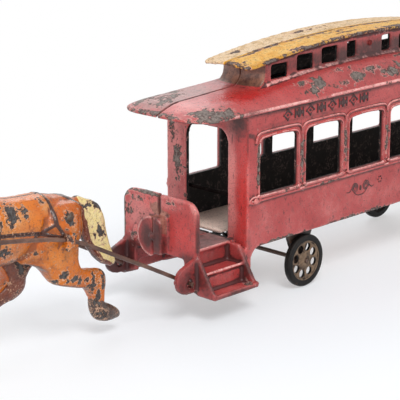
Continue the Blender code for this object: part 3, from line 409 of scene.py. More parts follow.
class Wire:
    # one output socket that can stand in a sum
    def __init__(self, paint, socket):
        self.paint, self.socket = paint, socket

    def sum(self, operation, first, second):
        return self.paint.node("ShaderNodeMath", {"operation": operation}, {0: first, 1: second})

    def __add__(self, other):
        return self.sum("ADD", self, other)

    def __radd__(self, other):
        return self.sum("ADD", other, self)

    def __sub__(self, other):
        return self.sum("SUBTRACT", self, other)

    def __rsub__(self, other):
        return self.sum("SUBTRACT", other, self)

    def __mul__(self, other):
        return self.sum("MULTIPLY", self, other)

    def __rmul__(self, other):
        return self.sum("MULTIPLY", other, self)

    def step(self, low, high):
        # 0 below low, 1 above high, smooth between
        sockets = {"Value": self, "From Min": low, "From Max": high}
        return self.paint.node("ShaderNodeMapRange", {"interpolation_type": "SMOOTHSTEP"}, sockets)


class Paint:
    # owner is the material or world whose nodes are built
    def __init__(self, owner, shader="Principled BSDF"):
        owner.use_nodes = True
        self.owner, self.tree = owner, owner.node_tree
        self.shader = self.tree.nodes[shader]

    def node(self, kind, settings=None, sockets=None, output=0):
        made = self.tree.nodes.new(kind)
        for key, value in (settings or {}).items():
            setattr(made, key, value)
        for key, value in (sockets or {}).items():
            self.join(value, made.inputs[key])
        return Wire(self, made.outputs[output])

    def join(self, value, socket):
        if isinstance(value, Wire):
            self.tree.links.new(value.socket, socket)
        else:
            socket.default_value = value

    def mix(self, mask, under, over):
        return self.node("ShaderNodeMix", {"data_type": "RGBA"}, {0: mask, 6: under, 7: over}, 2)

    def vector(self, operation, first, second=(0.0, 0.0, 0.0), output="Vector"):
        return self.node("ShaderNodeVectorMath", {"operation": operation}, {0: first, 1: second}, output)

    def place(self):
        return self.node("ShaderNodeTexCoord", output="Object")

    def field(self, name):
        return self.node("ShaderNodeAttribute", {"attribute_name": name}, output="Fac")

    def cloud(self, place, size, detail=4.0, roughness=0.55, distortion=0.0):
        # noise whose lumps are about size millimetres
        sockets = {"Vector": place, "Scale": 1 / (size * mm), "Detail": detail, "Roughness": roughness}
        return self.node("ShaderNodeTexNoise", sockets=dict(sockets, Distortion=distortion), output="Fac")

    def bump(self, height, depth, under=None):
        # depth in millimetres for a height of one
        sockets = {"Height": height, "Distance": depth * mm}
        if under is not None:
            sockets["Normal"] = under
        return self.node("ShaderNodeBump", sockets=sockets, output="Normal")

    def set(self, name, value):
        self.join(value, self.shader.inputs[name])


def tint(red, green, blue):
    # a colour as it looks on screen, 0 to 255, as linear light
    shares = [value / 255 for value in (red, green, blue)]
    return tuple(((s + 0.055) / 1.055) ** 2.4 if s > 0.04 else s / 12.92 for s in shares) + (1.0,)


def zone(field, colour, colourToo, flecks=None, matt=0.0):
    # where the field is high the surface takes the zone's colours: the thing's own colours in some zones,
    # painted highlight and painted shade in others; flecks are for bare, dirty iron
    colours = {"colour": tint(*colour), "colourToo": tint(*colourToo)}
    return dict(colours, field=field, flecks=tint(*flecks) if flecks else None, matt=matt)


def layZones(paint, colour, zones, medium, fine):
    for area in zones:
        shade = paint.mix(medium.step(0.35, 0.65), area["colour"], area["colourToo"])
        if area["flecks"]:
            shade = paint.mix(fine.step(0.46, 0.60) * medium.step(0.46, 0.60) * 0.8, shade, area["flecks"])
        colour = paint.mix(paint.field(area["field"]).step(0.42, 0.58), colour, shade)
    return colour


enamel = {
    "broadSize": 14.0, "fineSize": 1.1, "speckSize": 0.42, "nickSize": 0.9, "nickLength": 0.3,
    "chipAt": (0.49, 0.57), "rimAt": (0.38, 0.48), "chipHeartAt": (0.58, 0.76), "chipDepth": 0.10,
    "bareMetal": 0.22, "ironSpecks": (58, 48, 44),
}


def wornPaint(name, look, zones=()):
    # old enamel over cast iron: paint, its faded and sooty parts with painted highlights and painted shade
    # among them, chips with a pale rim, and the iron below
    look = {key: tint(*value) if isinstance(value, tuple) else value for key, value in look.items()}
    paint = Paint(bpy.data.materials.new(name))
    place = paint.place()
    broad = paint.cloud(place, enamel["broadSize"], 3.0)
    medium = paint.cloud(place, look["chipSize"], 6.0, 0.62, 0.4)
    fine = paint.cloud(place, enamel["fineSize"], 4.0, 0.6)
    speck = paint.cloud(place, enamel["speckSize"], 2.0, 0.5)
    edge, hollow = paint.field("edge"), paint.field("hollow")
    bare, fade, deep, soot = (paint.field(label) for label in ("bare", "fade", "deep", "soot"))

    colour = paint.mix(broad.step(0.3, 0.7), look["paint"], look["paintToo"])
    # deeper, less faded paint, and painted shade where a deep patch stands for a shaded side
    colour = paint.mix(deep * (0.8 + 0.4 * (medium - 0.5)), colour, look["deep"])
    clearOfSootAndShade = 1.0 - soot
    # faded paint, and painted highlight on edges and where the fade patches paint the lit side of a part
    fadedAndHighlit = fade * 0.9 + edge * clearOfSootAndShade * look["edgeFade"] + (broad - 0.5) * 1.2 + (fine - 0.5) * 0.9
    fadedAndHighlit = fadedAndHighlit.step(0.1, 0.95)
    colour = paint.mix(fadedAndHighlit * look["fadeShare"] * (1.0 - 0.8 * deep), colour, look["faded"])
    colour = layZones(paint, colour, [area for area in zones if not area["flecks"]], medium, fine)
    # real soot, and painted shade where the soot field is laid on shaded places
    sootAndShadeAmount = soot * (1.0 + (medium - 0.5) * 1.1 + (fine - 0.5) * 0.7)
    colour = paint.mix(sootAndShadeAmount.step(0.0, 1.0), colour, look["soot"])
    blotch = (medium * 0.6 + fine * 0.4).step(0.50, 0.66)
    # dirt and painted shade in hollows and creases
    hollowDirtAndShade = (hollow * 1.25 + (medium - 0.5) * 0.9 + (fine - 0.5) * 0.5).step(0.25, 0.65)
    pit = speck.step(0.56, 0.64) * fine.step(0.46, 0.56)
    upright = paint.vector("MULTIPLY", place, (1.0, 1.0, enamel["nickLength"]))
    nick = paint.cloud(upright, enamel["nickSize"], 3.0, 0.5).step(0.63, 0.68) * medium.step(0.40, 0.55)
    darkMarksAndShade = ((blotch, "mottle"), (hollowDirtAndShade, "grimeShare"), (pit, "pits"), (nick, "nicks"))
    for mark, share in darkMarksAndShade:
        colour = paint.mix(mark * look[share], colour, look["grime"])
    colour = layZones(paint, colour, [area for area in zones if area["flecks"]], medium, fine)

    markings = (bare * look["bareWear"] + edge * clearOfSootAndShade * look["edgeWear"] + (medium - 0.5) * look["mediumWear"]
            + (fine - 0.5) * look["fineWear"] + (speck - 0.5) * 0.25 - deep * 0.14)
    chip = markings.step(*enamel["chipAt"])
    rim = (markings + (speck - 0.5) * look["rimSpread"]).step(*enamel["rimAt"])
    rimColour = paint.mix(broad.step(0.42, 0.56), look["rim"], look["stain"])
    colour = paint.mix(rim * look["rimShare"], colour, rimColour)
    metal = paint.mix(fine.step(0.35, 0.65), look["iron"], look["ironToo"])
    metal = paint.mix(speck.step(0.5, 0.75) * 0.5, metal, tint(*enamel["ironSpecks"]))
    metal = paint.mix(markings.step(*enamel["chipHeartAt"]), look["chipEdge"], metal)

    paint.set("Base Color", paint.mix(chip, colour, metal))
    rough = look["roughness"] + chip * 0.2 + hollowDirtAndShade * 0.14 - deep * 0.1 + (fine - 0.5) * 0.26
    for area in zones:
        if area["matt"]:
            rough = rough + paint.field(area["field"]) * area["matt"]
    paint.set("Roughness", rough)
    paint.set("Metallic", chip * enamel["bareMetal"])
    relief = paint.bump(fine * 0.5 + speck * 0.25, look["relief"])
    paint.set("Normal", paint.bump(1.0 - chip, enamel["chipDepth"], relief))
    paint.shader.inputs["Specular IOR Level"].default_value = look["gloss"]
    return paint.owner


redLook = {
    "paint": (174, 63, 62), "paintToo": (188, 80, 78), "deep": (208, 62, 58), "soot": (80, 38, 36),
    "faded": (232, 150, 144), "fadeShare": 0.62, "edgeFade": 0.5,
    "grime": (66, 34, 34), "grimeShare": 0.9, "pits": 0.8, "mottle": 0.3,
    "rim": (230, 172, 162), "rimShare": 0.6, "rimSpread": 0.1, "stain": (122, 74, 62), "nicks": 0.7,
    "iron": (92, 80, 75), "ironToo": (138, 123, 115), "chipEdge": (68, 46, 42),
    "chipSize": 3.6, "bareWear": 0.95, "edgeWear": 0.24, "mediumWear": 1.35, "fineWear": 0.9,
    "roughness": 0.34, "gloss": 0.42, "relief": 0.1,
}
print("tools and looks ready")


# The side castings: wall with six windows, end walls, platforms, steps and dashes

car = {
    "halfLength": 87.4, "outerY": 22.3, "wall": 2.4, "sillZ": 23.5, "eaveZ": 78.6,
    "windowWidth": 23.0, "windowPitch": 27.6, "windowCount": 6, "windowSillZ": 44.3, "windowHeight": 23.0,
    "windowCorner": 2.6, "windowCrown": 0.45, "beltZ": 42.35,
    "bulkhead": 2.2, "doorHalf": 11.4, "doorTopZ": 70.1, "doorCorner": 5.2,
    "platformZ": 26.0, "platformThick": 2.0, "dashFace": 113.6, "dashThick": 1.9, "dashHalf": 20.3,
    "dashTopZ": 46.9, "dashCorner": 6.0, "dashFootZ": 23.6, "dashSeamRise": 0.35,
    "drumRadius": 7.6, "drumZ": 31.0, "drumReach": 4.1,
    "drumBoxY": 4.6, "drumBoxTopZ": 39.0, "drumBoxSideZ": 37.6, "drumBoxFootZ": 24.2, "drumBoxCorner": 1.4,
    "earHoleX": 117.4, "earHoleZ": 16.4, "earHoleRadius": 1.6, "earOffset": 1.4, "earRadius": 5.5,
    "earOuterY": 20.55, "earThick": 2.2,
    "legBack": 2.3, "legFillet": 5.0, "legFootZ": 14.4,
    "stepInset": 14.7, "stepRun": 7.8, "stepRise": 7.1, "stepPlate": 1.4, "stepCheek": 1.8, "stepShort": 1.4,
    "rodX": 83.5, "rodZ": 42.8, "voxel": 0.54, "ribVoxel": 0.27,
}
firstWindow = -car["windowPitch"] * (car["windowCount"] - 1) / 2
windowTop = car["windowSillZ"] + car["windowHeight"] - car["windowCrown"]
hoodLine = [(-13.85, 65.4), (-13.5, 67.2), (-12.5, 68.6), (-10.4, 69.35), (-5.0, 69.55), (0, 69.6)]
hoodLine += [(-x, z) for x, z in hoodLine[-2::-1]]
sillLine = [(-12.6, 44.6), (-11.6, 43.75), (-8.0, 43.6), (8.0, 43.6), (11.6, 43.75), (12.6, 44.6)]


def windowOutline(grow=0.0):
    # the opening about x = 0, or a line that far outside it
    half, corner = car["windowWidth"] / 2 + grow, car["windowCorner"] + grow
    low, top = car["windowSillZ"] - grow, windowTop + grow
    outline = [(-half, low), (half, low)]
    outline += arc((half - corner, top - corner), corner, 0, 90, 7)
    outline += [(x, top + car["windowCrown"] * (1 - (x / (half - corner)) ** 2)) for x in (3.3, 0.0, -3.3)]
    return outline + arc((corner - half, top - corner), corner, 90, 180, 7)


def windowTrim():
    # raised ribs round one window and the sill bead below it, drawn about x = 0
    face = -car["outerY"]
    opening = [(x, face - 0.02, z) for x, z in windowOutline(0.45)]
    inner = tube(opening[1:], 0.45)
    foot = tube([opening[-1], opening[0]], 0.45)
    outer = tube(curved([(x, face - 0.14, z) for x, z in hoodLine], 3), 0.5)
    post = tube([(13.8, face + 0.12, 66.0), (13.8, face + 0.12, 45.2)], 0.6, flat=1.5)
    bead = tube(curved([(x, face - 0.22, z) for x, z in sillLine], 4), 0.72)
    return together([inner, foot, outer, post, bead])


def wallSolids():
    length, face, inner = car["halfLength"], -car["outerY"], -car["outerY"] + car["wall"]
    window = moved(prism(windowOutline(), "y", face - 4, 0), firstWindow)
    wall = block((-length, face, car["sillZ"]), (length, inner, car["eaveZ"] - 0.4))
    wall = cut(wall, copies(window, car["windowCount"], car["windowPitch"]))
    y, z = face + 0.55, car["sillZ"] + 0.5
    solids = [wall, tube([(0.5 - length, y, z), (length - 0.5, y, z)], 0.62)]
    for end in (-1, 1):  # a flat pad round each tie rod's end
        low, high = sorted((end * length, end * (car["rodX"] - 2.2)))
        solids.append(block((low, face - 0.4, car["rodZ"] - 1.5), (high, face + 0.3, car["rodZ"] + 1.5)))
    return solids


def ribSolids():
    # the ribs round the windows, the belt below them and the oval ring round each tie rod's end
    reach, face, z = car["halfLength"] - 0.3, -car["outerY"], car["beltZ"]
    solids = [copies(moved(windowTrim(), firstWindow), car["windowCount"], car["windowPitch"])]
    solids.append(tube([(-reach, face - 0.12, z), (reach, face - 0.12, z)], 0.72))
    solids += [oval((end * car["rodX"], face - 0.4, car["rodZ"]), 2.9, 1.35, 0.46) for end in (-1, 1)]
    return together(solids)


def lowerRoofZ(x, y):
    run = roof["eaveY"] - roof["clerestoryY"]
    depth = max(planDepth(x, y, *hoodPlan), 0)
    past = abs(x) - roof["clerestoryHalf"]
    rise = roof["rise"] - roof["camber"] * min(abs(x) / roof["clerestoryHalf"], 1.0) ** 2
    if past > 0:
        rise -= roof["hoodDrop"] * past / (roof["hoodHalf"] - roof["clerestoryHalf"])
    return car["eaveZ"] + rise * math.sin(min(depth / run, 1.0) * math.pi / 2)


def planDepth(x, y, halfLength, halfWidth, corner):
    # how far inside the rounded plan outline a point lies
    pastX, pastY = abs(x) - (halfLength - corner), abs(y) - (halfWidth - corner)
    return corner - (math.hypot(max(pastX, 0), max(pastY, 0)) + min(max(pastX, pastY), 0))


def planHalfWidth(x, halfLength, halfWidth, corner):
    past = max(abs(x) - (halfLength - corner), 0)
    return halfWidth - corner + math.sqrt(max(corner * corner - past * past, 0))


roof = {
    "eaveY": 23.4, "hoodHalf": 114.5, "hoodCorner": 11.0, "rise": 9.4, "camber": 4.0, "hoodDrop": 2.6,
    "shell": 1.9, "hoodTaper": 0.42,
    "clerestoryHalf": 68.0, "clerestoryBow": 2.5, "clerestoryY": 11.7, "clerestoryWall": 1.8,
    "coveReach": 6.4, "coveRise": 6.0,
    "upperHalf": 77.0, "upperY": 13.1, "upperCorner": 4.5, "upperTopZ": 99.4, "upperCamber": 5.4,
    "upperCrown": 1.2, "upperShell": 1.35, "lightSill": 1.3, "lightHead": 2.1, "lightCorner": 0.9,
    "lights": [(57.4, 10.2), (41.6, 10.2), (26.0, 10.2), (11.7, 6.2)], "voxel": 0.5,
}
hoodPlan = (roof["hoodHalf"], roof["eaveY"], roof["hoodCorner"])
upperPlan = (roof["upperHalf"], roof["upperY"], roof["upperCorner"])


def upperRoofZ(x, y):
    along, across = (x / roof["upperHalf"]) ** 2, (y / roof["upperY"]) ** 2
    return roof["upperTopZ"] - roof["upperCamber"] * along - roof["upperCrown"] * along * across


def bulkheadSolids(end):
    inner, outer = car["halfLength"] - car["bulkhead"], car["halfLength"]
    low, high = sorted((end * inner, end * outer))
    edge = car["outerY"] - 0.3
    ys = np.linspace(-edge, -seam, 8)
    outline = [(y, lowerRoofZ(outer, y) - 1.0) for y in ys] + [(-seam, 24.0), (-edge, 24.0)]
    wall = prism(outline, "x", low, high)
    half, top, corner = car["doorHalf"], car["doorTopZ"], car["doorCorner"]
    door = [(5, car["platformZ"] - 0.4), (5, top), (corner - half, top)]
    door += arc((corner - half, top - corner), corner, 90, 180, 7)[1:] + [(-half, car["platformZ"] - 0.4)]
    return [cut(wall, prism(door, "x", low - 1, high + 1))]


def cornerLeg(end):
    # the corner post runs on below the sill into the step
    back, front = car["halfLength"] - car["legBack"], car["halfLength"] + car["stepShort"] + 0.6
    fillet, foot = car["legFillet"], car["legFootZ"]
    outline = [(car["halfLength"], car["sillZ"] + 1), (front, car["sillZ"] - 1), (front, foot), (back, foot)]
    outline += arc((back - fillet, car["sillZ"] - fillet), fillet, 0, 90, 8)
    outline.append((back - fillet, car["sillZ"] + 1))
    return prism([(end * x, z) for x, z in outline], "y", -car["outerY"], -car["outerY"] + car["wall"])


def stepSolids(end):
    # stairs as one folded plate between two cheeks, with a lip along each tread
    front, rear = end * (car["dashFace"] + 0.2), end * (car["halfLength"] + car["stepShort"])
    low, high = sorted((front, rear))
    y0, z0, t = -car["stepInset"], car["platformZ"], car["stepPlate"]
    y1, z1 = y0 - car["stepRun"], z0 - car["stepRise"]
    y2, z2 = y1 - car["stepRun"] + 0.15, z1 - car["stepRise"]
    outline = [(y0 + t, z0), (y0, z0), (y0, z1), (y1, z1), (y1, z2), (y2, z2), (y2, z2 - t)]
    outline += [(y1 + t, z2 - t), (y1 + t, z1 - t), (y0 + t, z1 - t)]
    solids = [prism(outline, "x", low + 0.4, high - 0.4)]
    for y, z, reach in ((y0, z0, 0.2), (y1, z1, 0.2), (y2 + 0.56, z2, 0.0)):
        solids.append(tube([(low + 1.2, y - reach, z + 0.05), (high - 1.2, y - reach, z + 0.05)], 0.58))
    for (ya, za), (yb, zb) in (((y0, z1), (y1, z1)), ((y1, z2), (y2 + 0.3, z2))):
        side = rear - end * 0.2 * (1 if za == z1 else -1)
        solids.append(tube([(side, ya, za + 0.5), (side, yb, zb + 0.2)], 0.6))
    cheek = [(y2, z2 - t), (y2, z2 + 0.4), (y2 + 1.6, z2 + 1.0), (-car["dashHalf"], z0), (y0 + t, z0)]
    cheek += [(y0 + t, car["earHoleZ"] - 3), (y1 + t, z2 - t)]
    for edge, thick in ((front, -car["stepCheek"]), (rear, car["stepCheek"])):
        solids.append(prism(cheek, "x", *sorted((edge, edge + end * thick))))
    rail = [(y2 + 0.6, z2 + 0.3), (y2 + 1.9, z2 + 1.2), (-car["dashHalf"] + 0.1, z0 - 0.4)]
    solids.append(tube([(front - end * 0.8, y, z) for y, z in rail], 0.8))
    return solids


def platformSolids(end):
    low, high = sorted((end * (car["dashFace"] - 0.5), end * (car["halfLength"] - car["bulkhead"])))
    top = car["platformZ"]
    return [block((low, -car["stepInset"] - 0.1, top - car["platformThick"]), (high, -seam, top))]


def dashSolids(end):
    half, top, corner, face = car["dashHalf"], car["dashTopZ"], car["dashCorner"], car["dashFace"]
    low = car["dashFootZ"]
    rise = car["dashSeamRise"] if end > 0 else 0.0  # the far half stands a little higher at the joint
    outline = [(-seam, top + rise)] + arc((corner - half, top - corner), corner, 90, 180, 8)
    outline += [(-half, low - 4), (5.4 - half, low - 1.5), (8 - half, low), (-seam, low)]
    solids = [prism(outline, "x", *sorted((end * (face - car["dashThick"]), end * face)))]
    rim = [(-seam - 0.6, top + rise - 0.9)] + arc((corner - half, top - corner), corner - 0.9, 90, 180, 8)
    rim.append((0.9 - half, low - 2))
    solids.append(tube([(end * (face - 0.95), y, z) for y, z in rim], 1.12))
    reach = face + car["drumReach"]
    span = sorted((end * (face - 1), end * reach))
    if end < 0:
        side, foot, corner = -car["drumBoxY"], car["drumBoxFootZ"], car["drumBoxCorner"]
        box = [(-seam, car["drumBoxTopZ"])] + arc((side + corner, car["drumBoxSideZ"]), corner, 90, 180, 4)
        solids.append(prism(box + [(side, foot), (-seam, foot)], "x", *span))
    else:
        disc = arc((0, car["drumZ"]), car["drumRadius"], 90, 270, 16)
        solids.append(prism([(min(y, -seam), z) for y, z in disc], "x", *span))
        ring = arc((0, car["drumZ"]), car["drumRadius"] + 0.1, 95, 265, 18)
        solids.append(tube([(reach - 0.5, y, z) for y, z in ring], 0.75))
        solids.append(ball((face + 0.2, -13.0, 28.6), (0.9, 1.7, 3.6)))
    knob = ball((end * (reach + 0.1), -seam - 0.1, car["drumZ"]), (0.9, 1.1, 1.2))
    return solids + [knob]


def earSolids(end):
    centre = (car["earHoleX"] + car["earOffset"], car["earHoleZ"] + car["earOffset"])
    back = car["dashFace"] - 1.2
    outline = [(back, centre[1] + 8.2), (back, car["earHoleZ"] - 4.4)]
    outline += arc(centre, car["earRadius"], -100, 60, 12) + [(car["dashFace"] + 1.2, centre[1] + 7.4)]
    outer = -car["earOuterY"]
    lug = prism([(end * x, z) for x, z in outline], "y", outer, outer + car["earThick"])
    hole = arc((end * car["earHoleX"], car["earHoleZ"]), car["earHoleRadius"], 0, 345, 23)
    ring = oval((end * car["earHoleX"], outer + 0.2, car["earHoleZ"]), 2.4, 2.4, 0.45)
    return [cut(lug, prism(hole, "y", -25, -15)), ring]


def sideSolids():
    solids = wallSolids()
    for end in (-1, 1):
        solids += bulkheadSolids(end) + [cornerLeg(end)] + stepSolids(end) + platformSolids(end)
        solids += dashSolids(end) + earSolids(end)
    return together(solids)


def wearAndShadingFields(item, markings):
    points = pointsOf(item)
    ragged = 0.62 * grain(points, 2.4, 5.0) + 0.4 * grain(points, 1.0, 8.0)
    for label in ("bare", "deep", "fade", "soot"):
        fieldOf(item, label, patches(points, markings.get(label, []), ragged if label == "bare" else 0.0))


def ribDirtAndShade(points):
    # dirt and painted shade on the wall beside the ribs, the belt and the eave
    x, y, z = points.T
    half = car["windowPitch"] / 2
    local = (x - firstWindow + half) % car["windowPitch"] - half
    away = lineDistance(local, z, hoodLine)
    for line in (sillLine, [(-half, 42.2), (half, 42.2)], [(-half, 77.9), (half, 77.9)]):
        away = np.minimum(away, lineDistance(local, z, line))
    dirty = 1 - ramp(away + 0.35 * grain(points, 2.2, 9.0), 0.55, 1.25)
    return 0.8 * dirty * (abs(y) > car["outerY"] - 0.6) * (abs(x) < car["halfLength"] - 0.5)


def sideZones(item, side, markings):
    # side is -1 for the near casting and 1 for the far one
    points, normals = pointsOf(item), normalsOf(item)
    x, y, z = points.T
    length = car["halfLength"]
    within = ramp(-side * y, -car["outerY"] + 0.5, -car["outerY"] + 1.3)
    within = within * ramp(length - abs(x), 0.3, 1.0) * ramp(normals[:, 1] * -side, -0.6, 0.5)
    face = band(abs(x), -1, length - 0.4, 0.3) * ramp(-side * y, -car["outerY"] + 1.4, -car["outerY"] + 2.2)
    cabin = np.maximum(within, face) * ramp(z, 22.0, 24.5)
    # painted shade on the inner faces of the window openings
    reveal = ramp(-side * y, -car["outerY"] + 0.3, -car["outerY"] + 1.0) * (1 - cabin)
    reveal = reveal * band(abs(x), -1, length - 3, 0.5) * ramp(z, 40, 43)
    fieldOf(item, "inside", cabin)
    fieldOf(item, "reveal", reveal)
    floor = ramp(normals[:, 2], 0.5, 0.9) * band(z, 25.0, 27.0, 0.3) * (abs(y) < car["stepInset"] - 0.6)
    fieldOf(item, "floor", floor * (abs(x) > length - 3))
    under = ramp(-normals[:, 2], 0.3, 0.8)
    behind = ramp(length + 22 - abs(x), 0.0, 1.2) * (abs(x) > length + 5)
    behind = behind * (normals[:, 0] * np.sign(x) < -0.4)
    farEar = (y * side > 14) * ramp(25 - z, 0, 3) * ramp(abs(x), 113.4, 114.2) * (side > 0)
    fieldOf(item, "shade", np.clip(under * 0.8 + behind * 0.5 + farEar, 0, 1))
    ragged = 0.5 * grain(points, 2.2, 4.0)
    front = car["dashFace"] + car["drumReach"]
    drumSide = (abs(y) < 8.4) * band(abs(x), 114.2, front, 0.3) * ramp(z + 3 * ragged, 29, 35)
    drumSide = drumSide * ramp(0.75 - abs(normals[:, 0]), 0.0, 0.35)
    dustSpots = [((-113.6, 1.5, 41.2), (1.6, 4.5, 3.2), 0.75), ((-113.6, -3, 39.6), (1.6, 4, 1.6), 0.7)]
    fieldOf(item, "tan", np.maximum(drumSide, patches(points, dustSpots, ragged)))
    # less of the painted hollow shade on the dash round the drum
    softened = band(abs(y), -1, 9.5, 0.5) * band(abs(x), 112.8, 115, 0.3) * band(z, 24, 41, 0.8)
    fieldOf(item, "hollow", valuesOf(item, "hollow") * (1 - 0.55 * softened))
    wearAndShadingFields(item, markings)
    fieldOf(item, "soot", np.maximum(patches(points, markings["soot"]), ribDirtAndShade(points)))
    # a painted highlight round the drum's rim
    ring = 1 - ramp(abs(np.hypot(y, z - car["drumZ"]) - car["drumRadius"] - 0.1), 0.45, 0.95)
    ring = 0.52 * ring * (side * y > 0) * (abs(x) > front - 1.2) * ramp(0.4 * ragged + 0.6, 0.3, 0.5)
    # painted highlights along the top of each tread's lip
    lip = np.zeros(len(points))
    for lipY, lipZ in ((14.9, 26.3), (22.7, 19.2)):
        tread = 1 - ramp(np.hypot(abs(y) - lipY, z - lipZ), 0.5, 0.8)
        lip = np.maximum(lip, tread * ramp(normals[:, 2], 0.1, 0.5))
    lip = lip * band(abs(x), 91.5, 111.5, 0.3) * ramp(grain(points, 5.0, 3.0), -0.5, -0.1)
    fieldOf(item, "lip", np.maximum(lip, ring))


# mostly wear, dirt and fading; the fade patches on the corner post's door side, the dash's top corner and the
# tread lips are painted highlights, and the deep patch on the post's outer side and the soot line under the
# eave are painted shade
nearWearAndShading = {
    "bare": [
        ((-55.2, -22.6, 55), (1.3, 1, 9), 0.78), ((-27.6, -22.6, 55), (1.3, 1, 9), 0.72),
        ((0, -22.6, 55), (1.3, 1, 9), 0.72), ((-81.4, -22.3, 56), (0.9, 1, 9), 0.7),
        ((-53, -22.3, 57), (0.6, 1, 8), 0.6), ((27.6, -22.6, 55), (1.3, 1, 9), 0.66),
        ((-92, -27.5, 12), (3, 2.2, 1.2), 0.75), ((-36, -22.6, 42.2), (10, 1, 0.9), 0.66),
        ((-60, -22.6, 43.6), (14, 1, 0.7), 0.5), ((-70, -22.3, 24), (14, 1, 1), 0.5),
        ((-20, -22.3, 24.2), (20, 1, 0.9), 0.55), ((-115, -20.6, 13), (4, 1, 2), 0.5),
        ((-113.6, -6, 44.6), (1, 3, 1.2), 0.5), ((-24, -22.5, 41.8), (5, 1, 0.8), 0.6),
        ((-45, -23.2, 78.6), (44, 1, 0.9), 0.5), ((-88.5, -27, 12.5), (1.2, 5, 2), 0.6),
    ],
    "deep": [
        ((-88, -20.2, 42), (2, 3.4, 26), 0.85), ((-113.6, -12.5, 33), (1, 6, 6), 0.7),
        ((-100, -25, 17), (12, 8, 7), 0.3), ((-69, -22.6, 68.3), (12, 1, 0.9), 0.8),
        ((-41, -22.6, 68.3), (12, 1, 0.9), 0.8), ((-14, -22.6, 68.3), (12, 1, 0.9), 0.8),
    ],
    "fade": [
        ((-87.4, -13.4, 50), (1, 3.2, 26), 0.95), ((-113.6, -6, 43.5), (1, 7, 3), 0.6),
        ((-100, -17.5, 22), (11, 4, 4), 0.5), ((-101, -25, 14.5), (10, 7, 6), 0.7),
        ((-40, -22.3, 33), (60, 1, 9), 0.3), ((-113.6, -17.5, 38), (1, 2.6, 7), 0.35),
        ((-112.8, -18.6, 44.6), (1.6, 1.6, 2), 1), ((-101, -14.8, 26.3), (12, 0.9, 0.7), 1),
        ((-101, -22.6, 19.2), (12, 0.9, 0.7), 1),
    ],
    "soot": [
        ((-88, -17, 74), (2.4, 5.5, 6), 0.85), ((-87.5, -22.4, 68), (0.5, 0.6, 9), 1),
        ((-117.9, -2.4, 31), (1.6, 3.6, 8.5), 1), ((-116, -4.8, 27.5), (1.9, 1.2, 5), 0.8),
        ((-118, -20.6, 16.5), (8, 3.4, 7.5), 0.72), ((-113.6, -15.6, 24), (1.6, 5, 2.6), 0.7),
        ((-100, -15, 22.4), (14, 1, 3), 0.45), ((-100, -22.7, 15.6), (14, 0.9, 2.4), 0.2),
        ((-114, -21, 20), (2, 2.4, 9), 0.7), ((-69, -22.5, 32), (10, 1, 3), 0.12),
        ((-86.6, -22.3, 26), (1.6, 1, 4), 0.4), ((-44, -22.4, 77), (46, 1.2, 1.3), 0.85),
        ((-40, -22.4, 41.3), (52, 1, 0.5), 0.6), ((-44, -22.4, 71.5), (46, 1, 0.8), 0.45),
        ((-101, -30.7, 11.2), (13, 1.4, 1.3), 0.9), ((-89.7, -25, 18), (1.5, 7, 8), 0.85),
        ((-112.8, -25, 18), (1.5, 8, 9), 0.9), ((-113.2, -20.4, 33), (1.7, 0.9, 9), 0.9),
        ((-113.6, -0.5, 43), (2, 0.5, 6), 0.9), ((-55.2, -22.6, 57), (1.6, 1, 9), 0.6),
        ((-27.6, -22.6, 57), (1.6, 1, 9), 0.5), ((0, -22.6, 57), (1.6, 1, 9), 0.4),
        ((27.6, -22.6, 57), (1.6, 1, 9), 0.4),
    ],
}
# the soot patch on the far ear is painted shade
farWearAndShading = {
    "bare": [
        ((-87.4, 16.2, 54), (1.2, 2.6, 10), 0.75), ((-113.6, 17, 38), (1, 2.6, 3.6), 0.62),
        ((-113.6, 12.5, 43.4), (1, 5, 2), 0.56), ((-113.6, 14, 28), (1.5, 4, 3), 0.58),
        ((-113.6, 20, 34), (1.5, 1, 14), 0.72), ((-113.6, 8, 46.6), (1.5, 11, 0.8), 0.78),
        ((-113.6, 18.6, 44.4), (1.5, 1.6, 1.8), 0.7), ((-113.6, 9, 38), (1, 2.2, 2), 0.62),
        ((-87.4, 19, 66), (1.2, 2.4, 6), 0.6),
    ],
    "deep": [
        ((-113.6, 6, 43), (1, 4, 3), 0.55),
    ],
    "fade": [
        ((-87.4, 18, 60), (1, 5, 24), 0.9), ((-113.6, 10, 38), (1, 10, 9), 0.85),
        ((-113.6, 5, 42), (1, 5, 3.4), 0.5),
    ],
    "soot": [
        ((-117.9, 2.6, 31), (1.6, 4.4, 6.2), 1), ((-87.4, 18, 45), (1, 5, 30), 0.2),
        ((-113.6, 14, 36), (1, 9, 10), 0.2), ((-117, 18, 17), (7, 5, 8), 1),
        ((-113.6, 16, 24), (2, 6, 4), 0.85), ((-113.6, 9, 34), (1, 4, 6), 0.45),
        ((-113.6, 0.5, 43), (2, 0.5, 6), 0.9),
    ],
}
# painted highlight colours for rib tops, tread lips, the drum's rim, the eave and the clerestory sills
paintedHighlightColours = [zone("lip", (244, 184, 176), (226, 142, 136))]
# near-black iron with painted shade inside the car
interiorIronAndShadeZone = zone("inside", (5, 3, 3), (14, 10, 10), (96, 84, 80), 0.4)
sideZoneColours = paintedHighlightColours + [
    zone("shade", (84, 40, 40), (56, 32, 32)),
    zone("tan", (172, 116, 100), (140, 78, 70)),
    zone("floor", (152, 98, 94), (112, 70, 68)),
    zone("reveal", (104, 44, 44), (70, 38, 36)),
    interiorIronAndShadeZone,
]
redPaint = wornPaint("worn_red_enamel", redLook, sideZoneColours)

nearSide, farSide = castPair("walls", sideSolids(), car["voxel"])
sideZones(nearSide, -1, nearWearAndShading)
sideZones(farSide, 1, farWearAndShading)
setDown(nearSide, redPaint, "car", ["near_side_casting"])
setDown(farSide, redPaint, "car", ["far_side_casting"])

